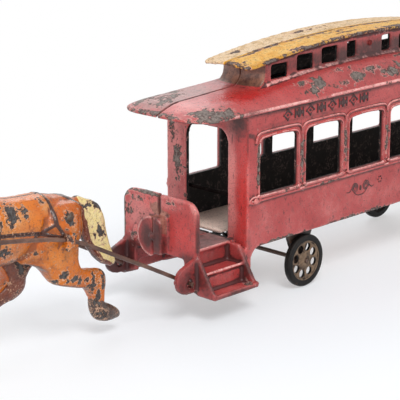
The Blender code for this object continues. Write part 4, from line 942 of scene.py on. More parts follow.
nearRibs, farRibs = castPair("window_ribs", ribSolids(), car["ribVoxel"], rounds=1, lumps=0.05, lumpSize=2.0)
ribPaint = wornPaint("worn_rib_enamel", dict(redLook, edgeWear=0.1, edgeFade=0.6, pits=0.9), paintedHighlightColours)


def ribZones(item, markings):
    # painted highlight on top of each rib, with painted shade under it
    points, normals = pointsOf(item), normalsOf(item)
    wearAndShadingFields(item, markings)
    broken = ramp(grain(points, 5.0, 3.0) + 0.5 * grain(points, 1.6, 6.0), -0.5, -0.1)
    fieldOf(item, "lip", ramp(normals[:, 2], 0.3, 0.75) * broken)
    soot = patches(points, markings["soot"])
    fieldOf(item, "soot", np.maximum(soot, 0.9 * ramp(-normals[:, 2], 0.15, 0.6)))


for item, markings, node in ((nearRibs, nearWearAndShading, "near_side_casting"), (farRibs, farWearAndShading, "far_side_casting")):
    ribZones(item, markings)
    setDown(item, ribPaint, "car", [node])
print("side castings done")


# The roofs: hooded lower roof, clerestory with its lights, and the ochre upper roof

def stations(half, corner, count):
    inner = list(np.linspace(-(half - corner), half - corner, count))
    turn = [half - corner + corner * math.sin(math.radians(a)) for a in (15, 30, 45, 58, 70, 80, 90)]
    return [-x for x in turn[::-1]] + inner + turn


def lowerRoof():
    def rows(x):
        outer = planHalfWidth(x, *hoodPlan)
        return [-outer + (outer - seam) * (j / 15) ** 1.25 for j in range(16)]

    def under(x, y):
        past = max(abs(x) - car["halfLength"] - car["bulkhead"], 0) / 24.9
        return lowerRoofZ(x, y) - roof["shell"] * (1 - roof["hoodTaper"] * past)

    slab = plate(stations(roof["hoodHalf"], roof["hoodCorner"], 60), rows, lowerRoofZ, under)
    inset = roof["clerestoryWall"] + 0.2
    reach = roof["clerestoryHalf"] - roof["clerestoryBow"] - inset
    opening = block((-reach, -roof["clerestoryY"] + inset, 70), (reach, 5, 100))
    edge, inward = [], 0.62
    for x in stations(roof["hoodHalf"], roof["hoodCorner"], 40):
        shrink = 1 - inward / roof["hoodHalf"] * (abs(x) > 103)
        edge.append((x * shrink, inward - planHalfWidth(x, *hoodPlan), car["eaveZ"] - 0.72))
    radii = [0.72 if abs(x) < 90 else 0.72 - 0.16 * (abs(x) - 90) / 24 for x, _, _ in edge]
    return [cut(slab, opening), tube(edge, radii)]


def lightCutter(x, width):
    low = lowerRoofZ(x, roof["clerestoryY"]) + roof["lightSill"]
    high = upperRoofZ(x, roof["upperY"]) - roof["upperShell"] - roof["lightHead"] + 0.1
    half, corner = width / 2, roof["lightCorner"]
    outline = [(x - half, low), (x + half, low)] + arc((x + half - corner, high - corner), corner, 0, 90, 5)
    outline += arc((x - half + corner, high - corner), corner, 90, 180, 5)
    return prism(outline, "y", -15, -8)


def clerestory():
    solids = []
    y0, thick = -roof["clerestoryY"], roof["clerestoryWall"]
    reach = roof["clerestoryHalf"] - roof["clerestoryBow"] - 0.2
    xs = list(np.linspace(-reach, reach, 41))
    outline = [(x, lowerRoofZ(x, y0) - 1.6) for x in xs] + [(x, upperRoofZ(x, y0) - 0.8) for x in xs[::-1]]
    wall = prism(outline, "y", y0, y0 + thick)
    cutters = [lightCutter(side * x, width) for side in (-1, 1) for x, width in roof["lights"]]
    solids.append(cut(wall, together(cutters)))
    solids.append(tube([(x, y0 - 0.15, lowerRoofZ(x, y0) + 0.35) for x in xs], 0.5))
    for end in (-1, 1):
        rings = []
        for y in np.linspace(y0 + 0.3, -seam, 9):
            outer = roof["clerestoryHalf"] - roof["clerestoryBow"] * (y / y0) ** 2
            inner = roof["clerestoryHalf"] - roof["clerestoryBow"] - thick
            base, foot = lowerRoofZ(outer, 0) - 1.4, lowerRoofZ(outer + roof["coveReach"], 0) - 1.4
            top, reachX, rise = upperRoofZ(outer, 0) - 0.8, roof["coveReach"], roof["coveRise"]
            profile = [(inner, base), (inner, top), (outer, top)]
            sweep = [(0.0, 1.0), (0.06, 0.78), (0.18, 0.55), (0.34, 0.38), (0.55, 0.25), (0.8, 0.15)]
            profile += [(outer + reachX * a, base + rise * b) for a, b in sweep]
            profile += [(outer + reachX, foot + 0.5), (outer + reachX, foot)]
            rings.append([(end * x, y, z) for x, z in profile])
        solids.append(loft(rings))
    return solids


def upperRoof():
    def rows(x):
        outer = planHalfWidth(x, *upperPlan)
        return [-outer + (outer - seam) * j / 9 for j in range(10)]

    def under(x, y):
        return upperRoofZ(x, y) - roof["upperShell"]

    slab = plate(stations(roof["upperHalf"], roof["upperCorner"], 40), rows, upperRoofZ, under)
    edge = []
    for x in stations(roof["upperHalf"] - 0.55, roof["upperCorner"], 30):
        outer = planHalfWidth(x, *upperPlan) - 0.55
        edge.append((x, -outer, upperRoofZ(x, -outer) - roof["upperShell"] / 2 - 0.05))
    return [slab, tube(edge, 0.68)]


def roofZones(item, side, markings):
    points, normals = pointsOf(item), normalsOf(item)
    x, y, z = points.T
    upper = upperRoofZ(x, y)
    lower = np.array([lowerRoofZ(a, b) for a, b in zip(x, y)])
    top = ramp(z, upper - 1.25, upper - 0.95)
    fieldOf(item, "ochre", top)
    fieldOf(item, "cream", top * (side > 0) * ramp(abs(y), 0.3, 1.2))
    cove = ramp(abs(x), 64.2, 65.2) * ramp(11.6 - abs(y), 0.0, 0.5) * ramp(z, lower + 0.15, lower + 0.9)
    fieldOf(item, "cove", cove * (1 - top))
    within = (abs(x) < car["halfLength"] - 1.5) * ramp(-normals[:, 2], 0.2, 0.6) * (z < lower)
    chamber = (abs(y) < roof["clerestoryY"] - 0.9) * (abs(x) < roof["clerestoryHalf"] - 3.4)
    chamber = chamber * (z < upper - 0.9)
    fieldOf(item, "inside", np.maximum(within, chamber))
    hood = (abs(x) >= car["halfLength"] - 1.5) * ramp(-normals[:, 2], 0.2, 0.7) * (z < 85)
    depth = np.array([planDepth(a, b, *hoodPlan) for a, b in zip(x, y)])
    broken = ramp(grain(points, 9.0, 3.0) + 0.4 * grain(points, 1.6, 6.0), -0.7, -0.1)
    # a painted highlight along the eave and on the clerestory sills
    lip = ramp(0.42 - depth, 0.0, 0.3) * ramp(normals[:, 2], -0.35, 0.15) * (z < 82) * (abs(x) < 96)
    sill = band(abs(y), 11.75, 12.8, 0.15) * ramp(normals[:, 2], 0.2, 0.6) * (z < lower + 1.4) * (abs(x) < 66)
    fieldOf(item, "lip", np.maximum(lip, sill) * broken)
    eave = ramp(-normals[:, 2], 0.3, 0.8) * (abs(y) > roof["upperY"] - 2.5)
    fieldOf(item, "shade", np.clip(hood * 0.9 + eave * 0.8 * (1 - within), 0, 1))
    wearAndShadingFields(item, markings)


# the soot band along the clerestory wall is painted shade under the upper roof
nearRoofWearAndShading = {
    "bare": [
        ((-102.5, -20.4, 80), (8.5, 3.2, 3), 0.84), ((-108, -16.5, 80), (6, 2.6, 3), 0.74),
        ((-98, -21.5, 80), (6, 2, 3), 0.76), ((-113.6, -6, 79), (1.6, 9, 2), 0.55),
        ((-41, -18.9, 83), (4.2, 3, 3), 0.92), ((-46, -21, 81), (7, 1.8, 2), 0.68),
        ((-49, -16.8, 84), (7, 1.8, 2), 0.6), ((-18, -19.8, 83), (4.4, 2.4, 3), 0.9),
        ((-30, -21, 82), (9, 1.6, 2), 0.56), ((-8, -17.5, 84), (9, 2.4, 2), 0.66),
        ((-24, -15.5, 85), (8, 1.4, 2), 0.58), ((4, -20.5, 82), (8, 2, 3), 0.8),
        ((15, -19, 83), (5, 2.6, 3), 0.85), ((28, -20, 82), (7, 2.2, 3), 0.75),
        ((20, -15, 85), (9, 1.8, 3), 0.7), ((52, -19, 82), (6, 2.4, 3), 0.8),
        ((96, -17, 81), (6, 4, 3), 0.74), ((-64.5, -13, 94.6), (9, 1.2, 1.5), 0.6),
        ((-42, -13.1, 97), (16, 1, 1.2), 0.5), ((-53, -0.8, 97), (16, 0.8, 1.2), 0.62),
        ((0, -13.1, 98.6), (18, 1.1, 1.4), 0.5), ((-45.8, -11.4, 97.3), (6, 1.4, 1.5), 0.66),
        ((-22, -12.2, 98.5), (14, 1.2, 1.5), 0.55), ((-10, -4, 99), (12, 2.4, 1), 0.5),
        ((-30, -2, 98.5), (14, 1.4, 1), 0.46), ((-75, -3, 93), (2.6, 10, 2), 0.58),
        ((-62, -1.2, 95.5), (12, 1, 3), 0.6), ((-30, -1, 99), (24, 1, 3), 0.62),
        ((16, -1.2, 99), (20, 1.6, 3), 0.66), ((20, -11, 98.6), (16, 2.4, 2), 0.64),
        ((-12, -8, 99), (10, 1.2, 2), 0.56),
    ],
    "deep": [
        ((-80, -13, 83), (13, 7, 4), 1), ((-62, -17, 84), (14, 5, 4), 0.6),
        ((-94, -9, 82), (6, 5, 3), 0.5),
    ],
    "fade": [
        ((-106, -10, 81), (8, 9, 3), 0.7), ((-18, -20, 82), (40, 4, 3), 0.15),
    ],
    "soot": [
        ((-87, -23.2, 78.2), (10, 1.4, 1.2), 0.45), ((-2, -19.5, 82.5), (34, 4, 3), 0.36),
        ((-52, -18, 83.5), (5, 3, 2), 0.3), ((0, -12.2, 91), (72, 1.6, 4), 0.95),
        ((0, -0.3, 97), (80, 0.7, 5), 0.6), ((-98, -0.2, 83), (20, 0.6, 6), 0.9),
        ((0, -12.9, 96), (80, 0.8, 4), 0.42),
    ],
}
farRoofWearAndShading = {
    "bare": [
        ((-107.8, 5.2, 81), (7, 2.4, 3), 0.74), ((-99, 8, 82), (9, 4, 3), 0.68),
        ((-104, 16, 80), (9, 4, 3), 0.72), ((-113.5, 4, 79), (1.6, 12, 2), 0.62),
        ((-63.7, 6.8, 95.5), (4, 2, 1.5), 0.75), ((-19, 8, 99), (14, 1.8, 1.5), 0.6),
        ((-53, 0.8, 97), (14, 0.7, 1.2), 0.55), ((-93, 13, 82), (5, 5, 3), 0.6),
    ],
    "fade": [
        ((-98, 10, 82), (20, 13, 4), 1),
    ],
    "soot": [
        ((-98, 10, 82), (20, 13, 4), 0.3), ((-98, 0.2, 83), (20, 0.6, 6), 0.9),
        ((0, 0.2, 97), (80, 0.5, 5), 0.5),
    ],
}
roofZoneColours = paintedHighlightColours + [
    zone("shade", (96, 44, 44), (66, 34, 34)),
    interiorIronAndShadeZone,
    zone("cove", (158, 110, 88), (112, 78, 66)),
    zone("ochre", (214, 150, 38), (232, 184, 94), matt=0.3),
    zone("cream", (232, 204, 170), (220, 184, 138), matt=0.2),
]
roofLook = dict(redLook, pits=0.95, bareWear=1.0, deep=(196, 42, 40))
farRoofLook = dict(roofLook, faded=(158, 118, 112), fadeShare=0.85)
roofPaint = wornPaint("worn_roof_enamel", roofLook, roofZoneColours)
farRoofPaint = wornPaint("worn_far_roof_enamel", farRoofLook, roofZoneColours)

nearRoof, farRoof = castPair("roof", together(lowerRoof() + clerestory() + upperRoof()), roof["voxel"])
roofZones(nearRoof, -1, nearRoofWearAndShading)
roofZones(farRoof, 1, farRoofWearAndShading)
setDown(nearRoof, roofPaint, "car", ["near_side_casting"])
setDown(farRoof, farRoofPaint, "car", ["far_side_casting"])
print("roofs done")


# Raised ornament on the letterboards and a small flourish on the lower panels

ornament = {
    "firstX": -64.3, "pitch": 6.85, "pairs": 4, "boardZ": 74.1, "halfHeight": 1.95, "halfWidth": 2.3,
    "line": 0.6, "flourishX": -17.0, "flourishZ": 35.6, "rosetteX": -3.8, "rosetteZ": 36.8, "voxel": 0.22,
}


def lozenge():
    face, halfX, halfZ = -car["outerY"] - 0.02, ornament["halfWidth"], ornament["halfHeight"]
    corners = [(0, face, halfZ), (halfX, face, 0), (0, face, -halfZ), (-halfX, face, 0)]
    beads = [ball(corner, (0.62, 0.5, 0.62)) for corner in corners] + [ball((0, face, 0), (0.75, 0.55, 0.6))]
    return together([tube(corners + corners[:1], ornament["line"])] + beads)


def quatrefoil():
    face = -car["outerY"] - 0.02
    petals = copies(ball((1.15, face, 0), (0.95, 0.6, 0.95)), 4, turn=math.tau / 4)
    bars = [tube([(x, face, -1.9), (x, face, 1.9)], 0.5) for x in (-2.4, 2.4)]
    return together([petals, ball((0, face, 0), (0.5, 0.62, 0.5))] + bars)


def scroll(side):
    # one open spiral with a leaf, drawn about the flourish's middle
    face = -car["outerY"] + 0.04
    path = []
    for i in range(40):
        angle, radius = 0.42 * i, 2.3 - 0.05 * i
        path.append((side * (3.6 + radius * math.cos(angle)), face, 0.3 + radius * math.sin(angle)))
    leaf = curved([(side * 5.9, face, 0.3), (side * 7.4, face, -0.9), (side * 9.3, face, -0.6)], 4)
    stem = curved([(side * 5.9, face, 0.2), (side * 2.6, face, -2.7), (0, face, -3.2)], 4)
    taper = [0.4 - 0.02 * i for i in range(len(leaf))]
    return together([tube(path, 0.3, 8), tube(leaf, taper, 8), tube(stem, 0.3, 8)])


def ornamentSolids():
    pitch, board = ornament["pitch"], ornament["boardZ"]
    pair = together([moved(lozenge(), 0, board), moved(quatrefoil(), pitch, board)])
    row = copies(pair, ornament["pairs"], 2 * pitch)
    length = (2 * ornament["pairs"] - 1) * pitch
    rows = [moved(row, ornament["firstX"]), moved(row, -ornament["firstX"] - length)]
    middle = together([scroll(-1), scroll(1), ball((0, -car["outerY"], -0.2), (0.9, 0.35, 1.3))])
    rosette = copies(ball((1.25, -car["outerY"], 0), (0.5, 0.34, 0.5)), 6, turn=math.tau / 6)
    lower = [moved(middle, ornament["flourishX"], ornament["flourishZ"])]
    lower.append(moved(rosette, ornament["rosetteX"], ornament["rosetteZ"]))
    return together(rows + lower)


ornamentLook = dict(redLook, soot=(66, 34, 34), edgeWear=0.0, edgeFade=0.0, fadeShare=0.0, rimShare=0.0,
                    mediumWear=0.6)
ornamentPaint = wornPaint("worn_ornament_enamel", ornamentLook)
for item in castPair("ornament", ornamentSolids(), ornament["voxel"], rounds=1, lumps=0.04):
    proud = ramp(abs(pointsOf(item)[:, 1]), car["outerY"] + 0.02, car["outerY"] + 0.2)
    fieldOf(item, "soot", 0.95 * proud)
    setDown(item, ornamentPaint, "car")
print("ornament done")


# Running gear, shafts and fasteners: the car's wheels are drawn here, and each other piece is skinned over
# its own CAD solid, which keeps its place and size

def cadSolid(node):
    points = [((co[0] - carX) / mm, co[1] / mm, co[2] / mm) for co in pointsOf(frame["nodes"][node]).tolist()]
    faces = [tuple(face.vertices) for face in frame["nodes"][node].data.polygons]
    merged = {}
    order = [merged.setdefault(tuple(round(c, 3) for c in point), len(merged)) for point in points]
    faces = [tuple(order[i] for i in face) for face in faces]
    return list(merged), [face for face in faces if len(set(face)) == 3]


def cadSkin(node, voxel, finish, body, zones, rounds=2, lumps=0.05, lumpSize=2.0):
    item = skin(node + "_skin", cadSolid(node), voxel, rounds, lumps, lumpSize)
    zones(item)
    return setDown(item, finish, body, [node])


ironLook = {
    "paint": (70, 58, 50), "paintToo": (92, 76, 62), "deep": (52, 40, 36), "soot": (30, 24, 22),
    "faded": (150, 126, 98), "fadeShare": 0.55, "edgeFade": 0.9,
    "grime": (34, 27, 25), "grimeShare": 0.8, "pits": 0.8, "mottle": 0.45,
    "rim": (104, 70, 50), "rimShare": 0.5, "rimSpread": 0.1, "stain": (90, 62, 48), "nicks": 0.3,
    "iron": (110, 96, 84), "ironToo": (146, 132, 116), "chipEdge": (84, 70, 60),
    "chipSize": 3.2, "bareWear": 0.8, "edgeWear": 0.5, "mediumWear": 1.1, "fineWear": 0.7,
    "roughness": 0.5, "gloss": 0.5, "relief": 0.16,
}
gearVoxel = {"rod": 0.22, "shaft": 0.24, "wheel": 0.28, "frame": 0.4, "floor": 0.7}
wheel = {
    "radius": 11.0, "half": 1.4, "web": 0.72, "hub": 2.6, "rimInner": 8.2, "bore": 1.0,
    "holes": 8, "holeRadius": 1.72, "holeRing": 5.7, "faceY": 22.3, "turns": {"near": 7, "far": 191},
}


def wheelSolid():
    # the dished side faces -y
    half, web, inner, hub = wheel["half"], wheel["web"], wheel["rimInner"], wheel["hub"]
    profile = [(wheel["bore"], -half), (hub - 0.5, -half), (hub, -half + 0.3), (hub + 0.5, -web - 0.1)]
    profile += [(inner - 0.3, -web - 0.1), (inner, -web - 0.35), (inner + 0.3, -half), (10.2, -half)]
    profile += [(10.8, -half + 0.25), (10.97, -half + 0.8), (10.97, half - 0.7), (10.8, half - 0.2)]
    profile += [(10.4, half), (inner + 0.2, half), (inner - 0.2, web), (hub + 0.4, web), (hub, half)]
    profile.append((wheel["bore"], half))
    turn = math.pi / wheel["holes"]
    centre = (wheel["holeRing"] * math.cos(turn), wheel["holeRing"] * math.sin(turn))
    hole = prism(arc(centre, wheel["holeRadius"], 0, 345, 23), "y", -3, 3)
    return cut(turned(profile), copies(hole, wheel["holes"], turn=2 * turn))


def wheelZones(item, side, centre):
    points = pointsOf(item)
    away = np.hypot(points[:, 0] - centre[0], points[:, 2] - centre[2])
    face = ramp(side * (points[:, 1] - centre[1]), 0.3, 0.7)
    fieldOf(item, "tan", face * ramp(wheel["rimInner"] + 0.2 - away, -0.4, 0.6))
    fieldOf(item, "bare", 0.26 * face * band(away, 9.2, 10.8, 0.5))
    fieldOf(item, "deep", 1 - face)
    fieldOf(item, "fade", 0.25 * face)


wheelLook = dict(
    ironLook, paint=(12, 10, 10), paintToo=(22, 19, 18), faded=(72, 64, 58), deep=(14, 12, 12),
    iron=(84, 76, 70), ironToo=(112, 102, 94), fadeShare=0.2, edgeFade=0.25, edgeWear=0.05, mottle=0.85,
    gloss=0.2)
wheelPaint = wornPaint("worn_wheel_iron", wheelLook, [zone("tan", (136, 112, 90), (92, 74, 60))])
wheelMaster = skin("wheel_master", wheelSolid(), gearVoxel["wheel"], rounds=1, lumps=0.03, lumpSize=1.6)
for label, end in (("front", -1), ("rear", 1)):
    for sideLabel, side in (("near", -1), ("far", 1)):
        node = label + "_" + sideLabel + "_wheel"
        item = linked(node + "_skin", wheelMaster.data.copy())
        centre = (end * axleX, side * (wheel["faceY"] - wheel["half"]), wheel["radius"])
        turn = Matrix.Rotation(math.radians(wheel["turns"][sideLabel] + 13 * end), 4, "Y")
        flip = Matrix.Rotation(math.pi if side > 0 else 0, 4, "Z")
        item.data.transform(Matrix.Translation(centre) @ turn @ flip)
        wheelZones(item, side, centre)
        setDown(item, wheelPaint, label + "_wheelset", [node])
bpy.data.objects.remove(wheelMaster, do_unlink=True)


def plainZones(bare=0.0, fade=0.0, deep=0.0):
    def give(item):
        count = len(item.data.vertices)
        for name, value in (("bare", bare), ("fade", fade), ("deep", deep)):
            fieldOf(item, name, np.full(count, value))
    return give


darkLook = dict(
    ironLook, paint=(50, 38, 34), paintToo=(70, 50, 42), faded=(112, 84, 66), fadeShare=0.4, edgeWear=0.35,
    mediumWear=0.9)
wireLook = dict(
    ironLook, paint=(78, 48, 38), paintToo=(104, 68, 52), deep=(70, 42, 34), faded=(170, 132, 112),
    iron=(150, 130, 120), ironToo=(206, 188, 176), fadeShare=0.45, edgeFade=0.2, chipSize=2.6, edgeWear=0.0,
    mediumWear=2.2, fineWear=1.2, mottle=0.7, roughness=0.4)
rodLook = dict(
    redLook, edgeFade=0.2, edgeWear=0.0, fadeShare=0.7, mottle=0.2, roughness=0.85, gloss=0.03,
    mediumWear=0.4, rimShare=0.0)
floorLook = dict(
    ironLook, paint=(255, 226, 208), paintToo=(238, 202, 186), deep=(90, 66, 58), faded=(248, 222, 206),
    soot=(128, 92, 80), iron=(206, 186, 172), ironToo=(228, 214, 202), rimShare=0.1, grime=(110, 80, 70),
    grimeShare=0.4, edgeWear=0.2, mediumWear=1.0, roughness=0.62, mottle=0.15)
darkIron = wornPaint("dark_oiled_iron", darkLook)
wirePaint = wornPaint("brown_shaft_wire", wireLook)
rodPaint = wornPaint("tie_rod_enamel", rodLook, [zone("inside", (14, 10, 9), (22, 16, 15), (40, 32, 30))])
floorPaint = wornPaint("dusty_floor_iron", floorLook)


def rodZones(item):
    # the body's rods come out through the walls, the roof's through the clerestory
    width = abs(pointsOf(item)[:, 1])
    onBody = width.max() > 20
    out = ramp(width, 22.2, 22.8) if onBody else ramp(width, 11.4, 11.8)
    fieldOf(item, "inside", 1 - out)
    fieldOf(item, "bare", 0.3 * out)
    fieldOf(item, "fade", 0.9 * out * onBody)
    fieldOf(item, "soot", 0.7 * out * (not onBody))


def floorZones(item):
    points, normals = pointsOf(item), normalsOf(item)
    plainZones(fade=0.45)(item)
    fieldOf(item, "soot", 0.1 * ramp(abs(points[:, 0]), 66, 80))  # trodden brown by each door
    rim = ramp(abs(points[:, 1]), 18.6, 19.4) * ramp(normals[:, 2], 0.2, 0.7)
    fieldOf(item, "bare", rim * 0.75 * (grain(points, 5.0, 4.0) > -0.2))


for label in ("front", "rear"):
    cadSkin(label + "_axle", gearVoxel["rod"], darkIron, label + "_wheelset",
            plainZones(fade=0.2), lumps=0.03)
    cadSkin(label + "_truck_frame", gearVoxel["frame"], darkIron, "car", plainZones(fade=0.1))
    cadSkin(label + "_truck_rivet", gearVoxel["rod"], darkIron, "car", plainZones(bare=0.3))
for node in ("front_tie_rod", "rear_tie_rod", "roof_tie_rod"):
    cadSkin(node, gearVoxel["rod"], rodPaint, "car", rodZones, lumps=0.03)
cadSkin("floor_plate", gearVoxel["floor"], floorPaint, "car", floorZones,
        lumps=0.12, lumpSize=6.0)
for node in ("near_shaft", "far_shaft"):
    cadSkin(node, gearVoxel["shaft"], wirePaint, "team", plainZones(fade=0.2), rounds=3,
            lumpSize=1.5)
print("running gear done")


# The horse, cast in two halves: padded-out outlines fused into one skin, then harness, tail and hooves

horse = {
    "bulk": {"trunk": 17.0, "neck": 6.2, "head": 5.4, "thigh": 6.3, "shoulder": 5.8, "tail": 4.4, "ear": 1.6},
    "legY": 5.2, "voxel": 0.5, "strapProud": 0.34, "seam": 0.12, "padRounds": 700, "padMargin": 1.6,
}
trunkLine = [
    (-156.2, 53.4), (-161.5, 56), (-166.2, 57.4), (-174.2, 59.4), (-183, 60), (-190.5, 60.6), (-196, 62.2),
    (-202, 64.4), (-209, 67), (-217, 67.5), (-223.6, 64), (-224.9, 57.5), (-225, 51), (-222.5, 44),
    (-214, 38.4), (-205, 36.6), (-196, 36.6), (-188, 37.2), (-181, 38), (-173, 39), (-164.5, 41),
    (-161.2, 46.1), (-159, 50),
]
neckLine = [
    (-203, 64.8), (-206.8, 67.2), (-210.5, 71.2), (-216.5, 78.7), (-222.5, 85.6), (-227, 88.8), (-231, 86),
    (-230.5, 79), (-229, 72.8), (-226.4, 69), (-224.8, 62), (-222, 54), (-212, 54),
]
headLine = [
    (-223.5, 86.2), (-227.2, 89), (-231.5, 88.2), (-236.5, 82.2), (-241.5, 77.8), (-244.2, 74.6),
    (-243.2, 71.8), (-239.2, 71), (-234.5, 72.6), (-229.5, 73.2), (-225.5, 77),
]
earLine = [
    (-226.2, 87.4), (-228.2, 90.8), (-229.4, 93), (-230.6, 90), (-230.6, 87),
]
thighTop = [
    (-159.6, 53.4), (-166, 56), (-173, 55.6), (-179, 51), (-183, 44),
]
nearHind = [
    (-188, 37.6), (-183.8, 35.8), (-177.9, 32.2), (-173.9, 26.7), (-169.1, 24.3), (-163, 22.3),
    (-158.4, 21), (-155.4, 17.2), (-154.8, 12.5), (-152.9, 7.6), (-147.4, 5.4), (-140.7, 5.9),
    (-142.2, 9.6), (-147, 12.8), (-149.4, 14.8), (-149, 18.6), (-148.3, 23.4), (-149.9, 26.7),
    (-154.6, 27.9), (-160, 29.4), (-162.5, 33), (-162.5, 38), (-161.2, 46.1),
] + thighTop
farHind = [
    (-191, 37.6), (-188.8, 33), (-187.4, 28.6), (-190.5, 25.4), (-197, 23), (-202, 20.6), (-206.8, 16.6),
    (-205.2, 12.6), (-199, 12.8), (-195.2, 16.6), (-189.7, 19.6), (-182.2, 21.2), (-178.4, 24.6),
    (-177.8, 30.2), (-171.5, 33.6), (-165, 38), (-162.4, 43.5), (-160.4, 48.5),
] + thighTop
shoulderTop = [
    (-200, 44), (-205, 54), (-212, 60), (-219, 58), (-223.4, 51),
]
nearFore = [
    (-224, 44.5), (-221.4, 38), (-221.2, 31), (-221.4, 25), (-218.6, 19.5), (-217.8, 14.8), (-219.6, 10.8),
    (-221.8, 4.5), (-211, 3.7), (-209.9, 9.6), (-211.6, 13.8), (-212.8, 19), (-213.4, 25.2), (-211.8, 31),
    (-208.6, 36.4),
] + shoulderTop
farFore = [
    (-224.4, 45), (-228.8, 37), (-233.2, 31), (-233.4, 26), (-230.4, 20.5), (-228.8, 14.8), (-229.2, 9.8),
    (-224.2, 6.8), (-219.6, 9.4), (-222.2, 14), (-224.8, 19.6), (-226, 24.8), (-221.4, 28.6),
    (-214.6, 32.6), (-208, 36.2),
] + shoulderTop
tailLine = [
    (-158.8, 53.6), (-156.4, 49.4), (-155.2, 44.9), (-153.5, 37.7), (-150.7, 33), (-146.2, 27.6),
    (-140.7, 24.5), (-137.8, 25.3), (-138.9, 28.4), (-141, 33), (-143.2, 39.8), (-144.1, 45), (-145.7, 49),
    (-148.5, 51.8), (-152, 53.2), (-156, 55),
]


def within(xs, zs, outline):
    held = np.zeros(xs.shape, bool)
    for (ax, az), (bx, bz) in zip(outline, outline[1:] + outline[:1]):
        crosses = (az > zs) != (bz > zs)
        held ^= crosses & (xs < ax + (zs - az) / ((bz - az) or 1e-9) * (bx - ax))
    return held


def padded(line, centreY, bulk, cell=0.7, spacing=1.5):
    # a pillow over an outline: it swells with the room round each point, up to about bulk on each side
    outline = [(p.x, p.y) for p in curved([(x, z, 0) for x, z in line], 3, loop=True)]
    edge = np.array(outline)
    low, high = edge.min(0) - 2 * cell, edge.max(0) + 2 * cell
    xs, zs = np.arange(low[0], high[0], cell), np.arange(low[1], high[1], cell)
    gridX, gridZ = np.meshgrid(xs, zs, indexing="ij")
    held = within(gridX, gridZ, outline)
    room = np.zeros(gridX.shape)
    for _ in range(horse["padRounds"]):
        around = np.roll(room, 1, 0) + np.roll(room, -1, 0) + np.roll(room, 1, 1) + np.roll(room, -1, 1)
        room = np.where(held, (around + cell * cell) / 4, 0)

    def swell(x, z):
        i, j = (x - low[0]) / cell, (z - low[1]) / cell
        a, b = int(i), int(j)
        s, t = i - a, j - b
        level = (room[a, b] * (1 - s) * (1 - t) + room[a + 1, b] * s * (1 - t)
                 + room[a, b + 1] * (1 - s) * t + room[a + 1, b + 1] * s * t)
        height = math.sqrt(2 * level)
        return bulk * math.tanh(height / bulk)

    points = [Vector(p) for p in outline]
    ahead = np.roll(edge, -1, 0) - np.roll(edge, 1, 0)
    inward = np.stack([-ahead[:, 1], ahead[:, 0]], 1) / np.hypot(ahead[:, 0], ahead[:, 1])[:, None]
    clockwise = (edge[:, 0] * np.roll(edge[:, 1], -1) - np.roll(edge[:, 0], -1) * edge[:, 1]).sum() < 0
    inward = -inward if clockwise else inward
    for depth in (0.35, 0.95):
        ring = edge + inward * depth
        points += [Vector(p) for p in ring[within(ring[:, 0], ring[:, 1], outline)].tolist()]
    rows = int((high[1] - low[1]) / spacing)
    for i in range(int((high[0] - low[0]) / spacing)):
        for j in range(rows):
            x, z = low[0] + (i + 0.5 * (j % 2)) * spacing, low[1] + j * spacing
            near = np.hypot(edge[:, 0] - x, edge[:, 1] - z).min()
            if near > horse["padMargin"] and bool(within(np.array([x]), np.array([z]), outline)[0]):
                points.append(Vector((x, z)))
    links = [(k, (k + 1) % len(outline)) for k in range(len(outline))]
    places, _, faces, origins, _, _ = delaunay_2d_cdt(points, links, [], 1, 1e-6)
    solid, index = [], []
    for place, source in zip(places, origins):
        onEdge = any(k < len(outline) for k in source)
        height = 0.0 if onEdge else swell(place.x, place.y)
        index.append((len(solid), len(solid) if onEdge else len(solid) + 1))
        solid.append((place.x, centreY - height, place.y))
        if not onEdge:
            solid.append((place.x, centreY + height, place.y))
    shell = [tuple(index[i][0] for i in face) for face in faces]
    shell += [tuple(index[i][1] for i in reversed(face)) for face in faces]
    return solid, shell


def horseSolids(fore, hind, side):
    bulk, leg = horse["bulk"], side * horse["legY"]
    parts = [padded(trunkLine, 0, bulk["trunk"]), padded(neckLine, 0, bulk["neck"])]
    parts += [padded(headLine, 0, bulk["head"]), padded(earLine, side * 1.9, bulk["ear"], 0.3, 0.8)]
    parts += [padded(hind, leg, bulk["thigh"]), padded(fore, leg, bulk["shoulder"])]
    parts += [padded(tailLine, 0, bulk["tail"]), ball((-169.5, side * 6.6, 46.5), (9.5, 5.3, 9.5))]
    low, high = sorted((side * 9, side * 14.9))
    lug = block((-173.3, low, 41.2), (-169.7, high, 46.2))
    clasp = tube([(-173.6, side * 14.3, 40.6), (-169.6, side * 14.3, 46.4)], 1.0)
    return together(parts + [lug, clasp])


# each strap's half width and line
harness = {
    "hip": (0.75, [(-174.6, 62.0), (-174.4, 56.0), (-174.8, 50.0)]),
    "hipRear": (0.6, [(-174.8, 50.0), (-179.5, 47.9), (-184.0, 46.0)]),
    "hipClasp": (0.7, [(-174.8, 50.0), (-171.6, 43.8)]),
    "crupper": (0.75, [(-168.5, 59.6), (-163.5, 56.4), (-158.6, 52.4)]),
    "trace": (0.75, [(-173.0, 44.9), (-182.0, 47.7), (-192.0, 49.5), (-203.0, 51.1), (-214.0, 52.3)]),
    "saddle": (2.3, [(-200.6, 66.0), (-201.2, 58.0), (-201.8, 48.0), (-202.6, 34.0)]),
    "collar": (2.0, [(-210.0, 70.0), (-215.5, 62.0), (-219.0, 52.0), (-219.0, 42.0)]),
    "cheek": (0.7, [(-227.0, 90.0), (-232.5, 81.0), (-237.5, 75.0), (-237.6, 70.0)]),
    "nose": (0.7, [(-241.0, 79.5), (-238.0, 75.5), (-236.0, 71.0)]),
}
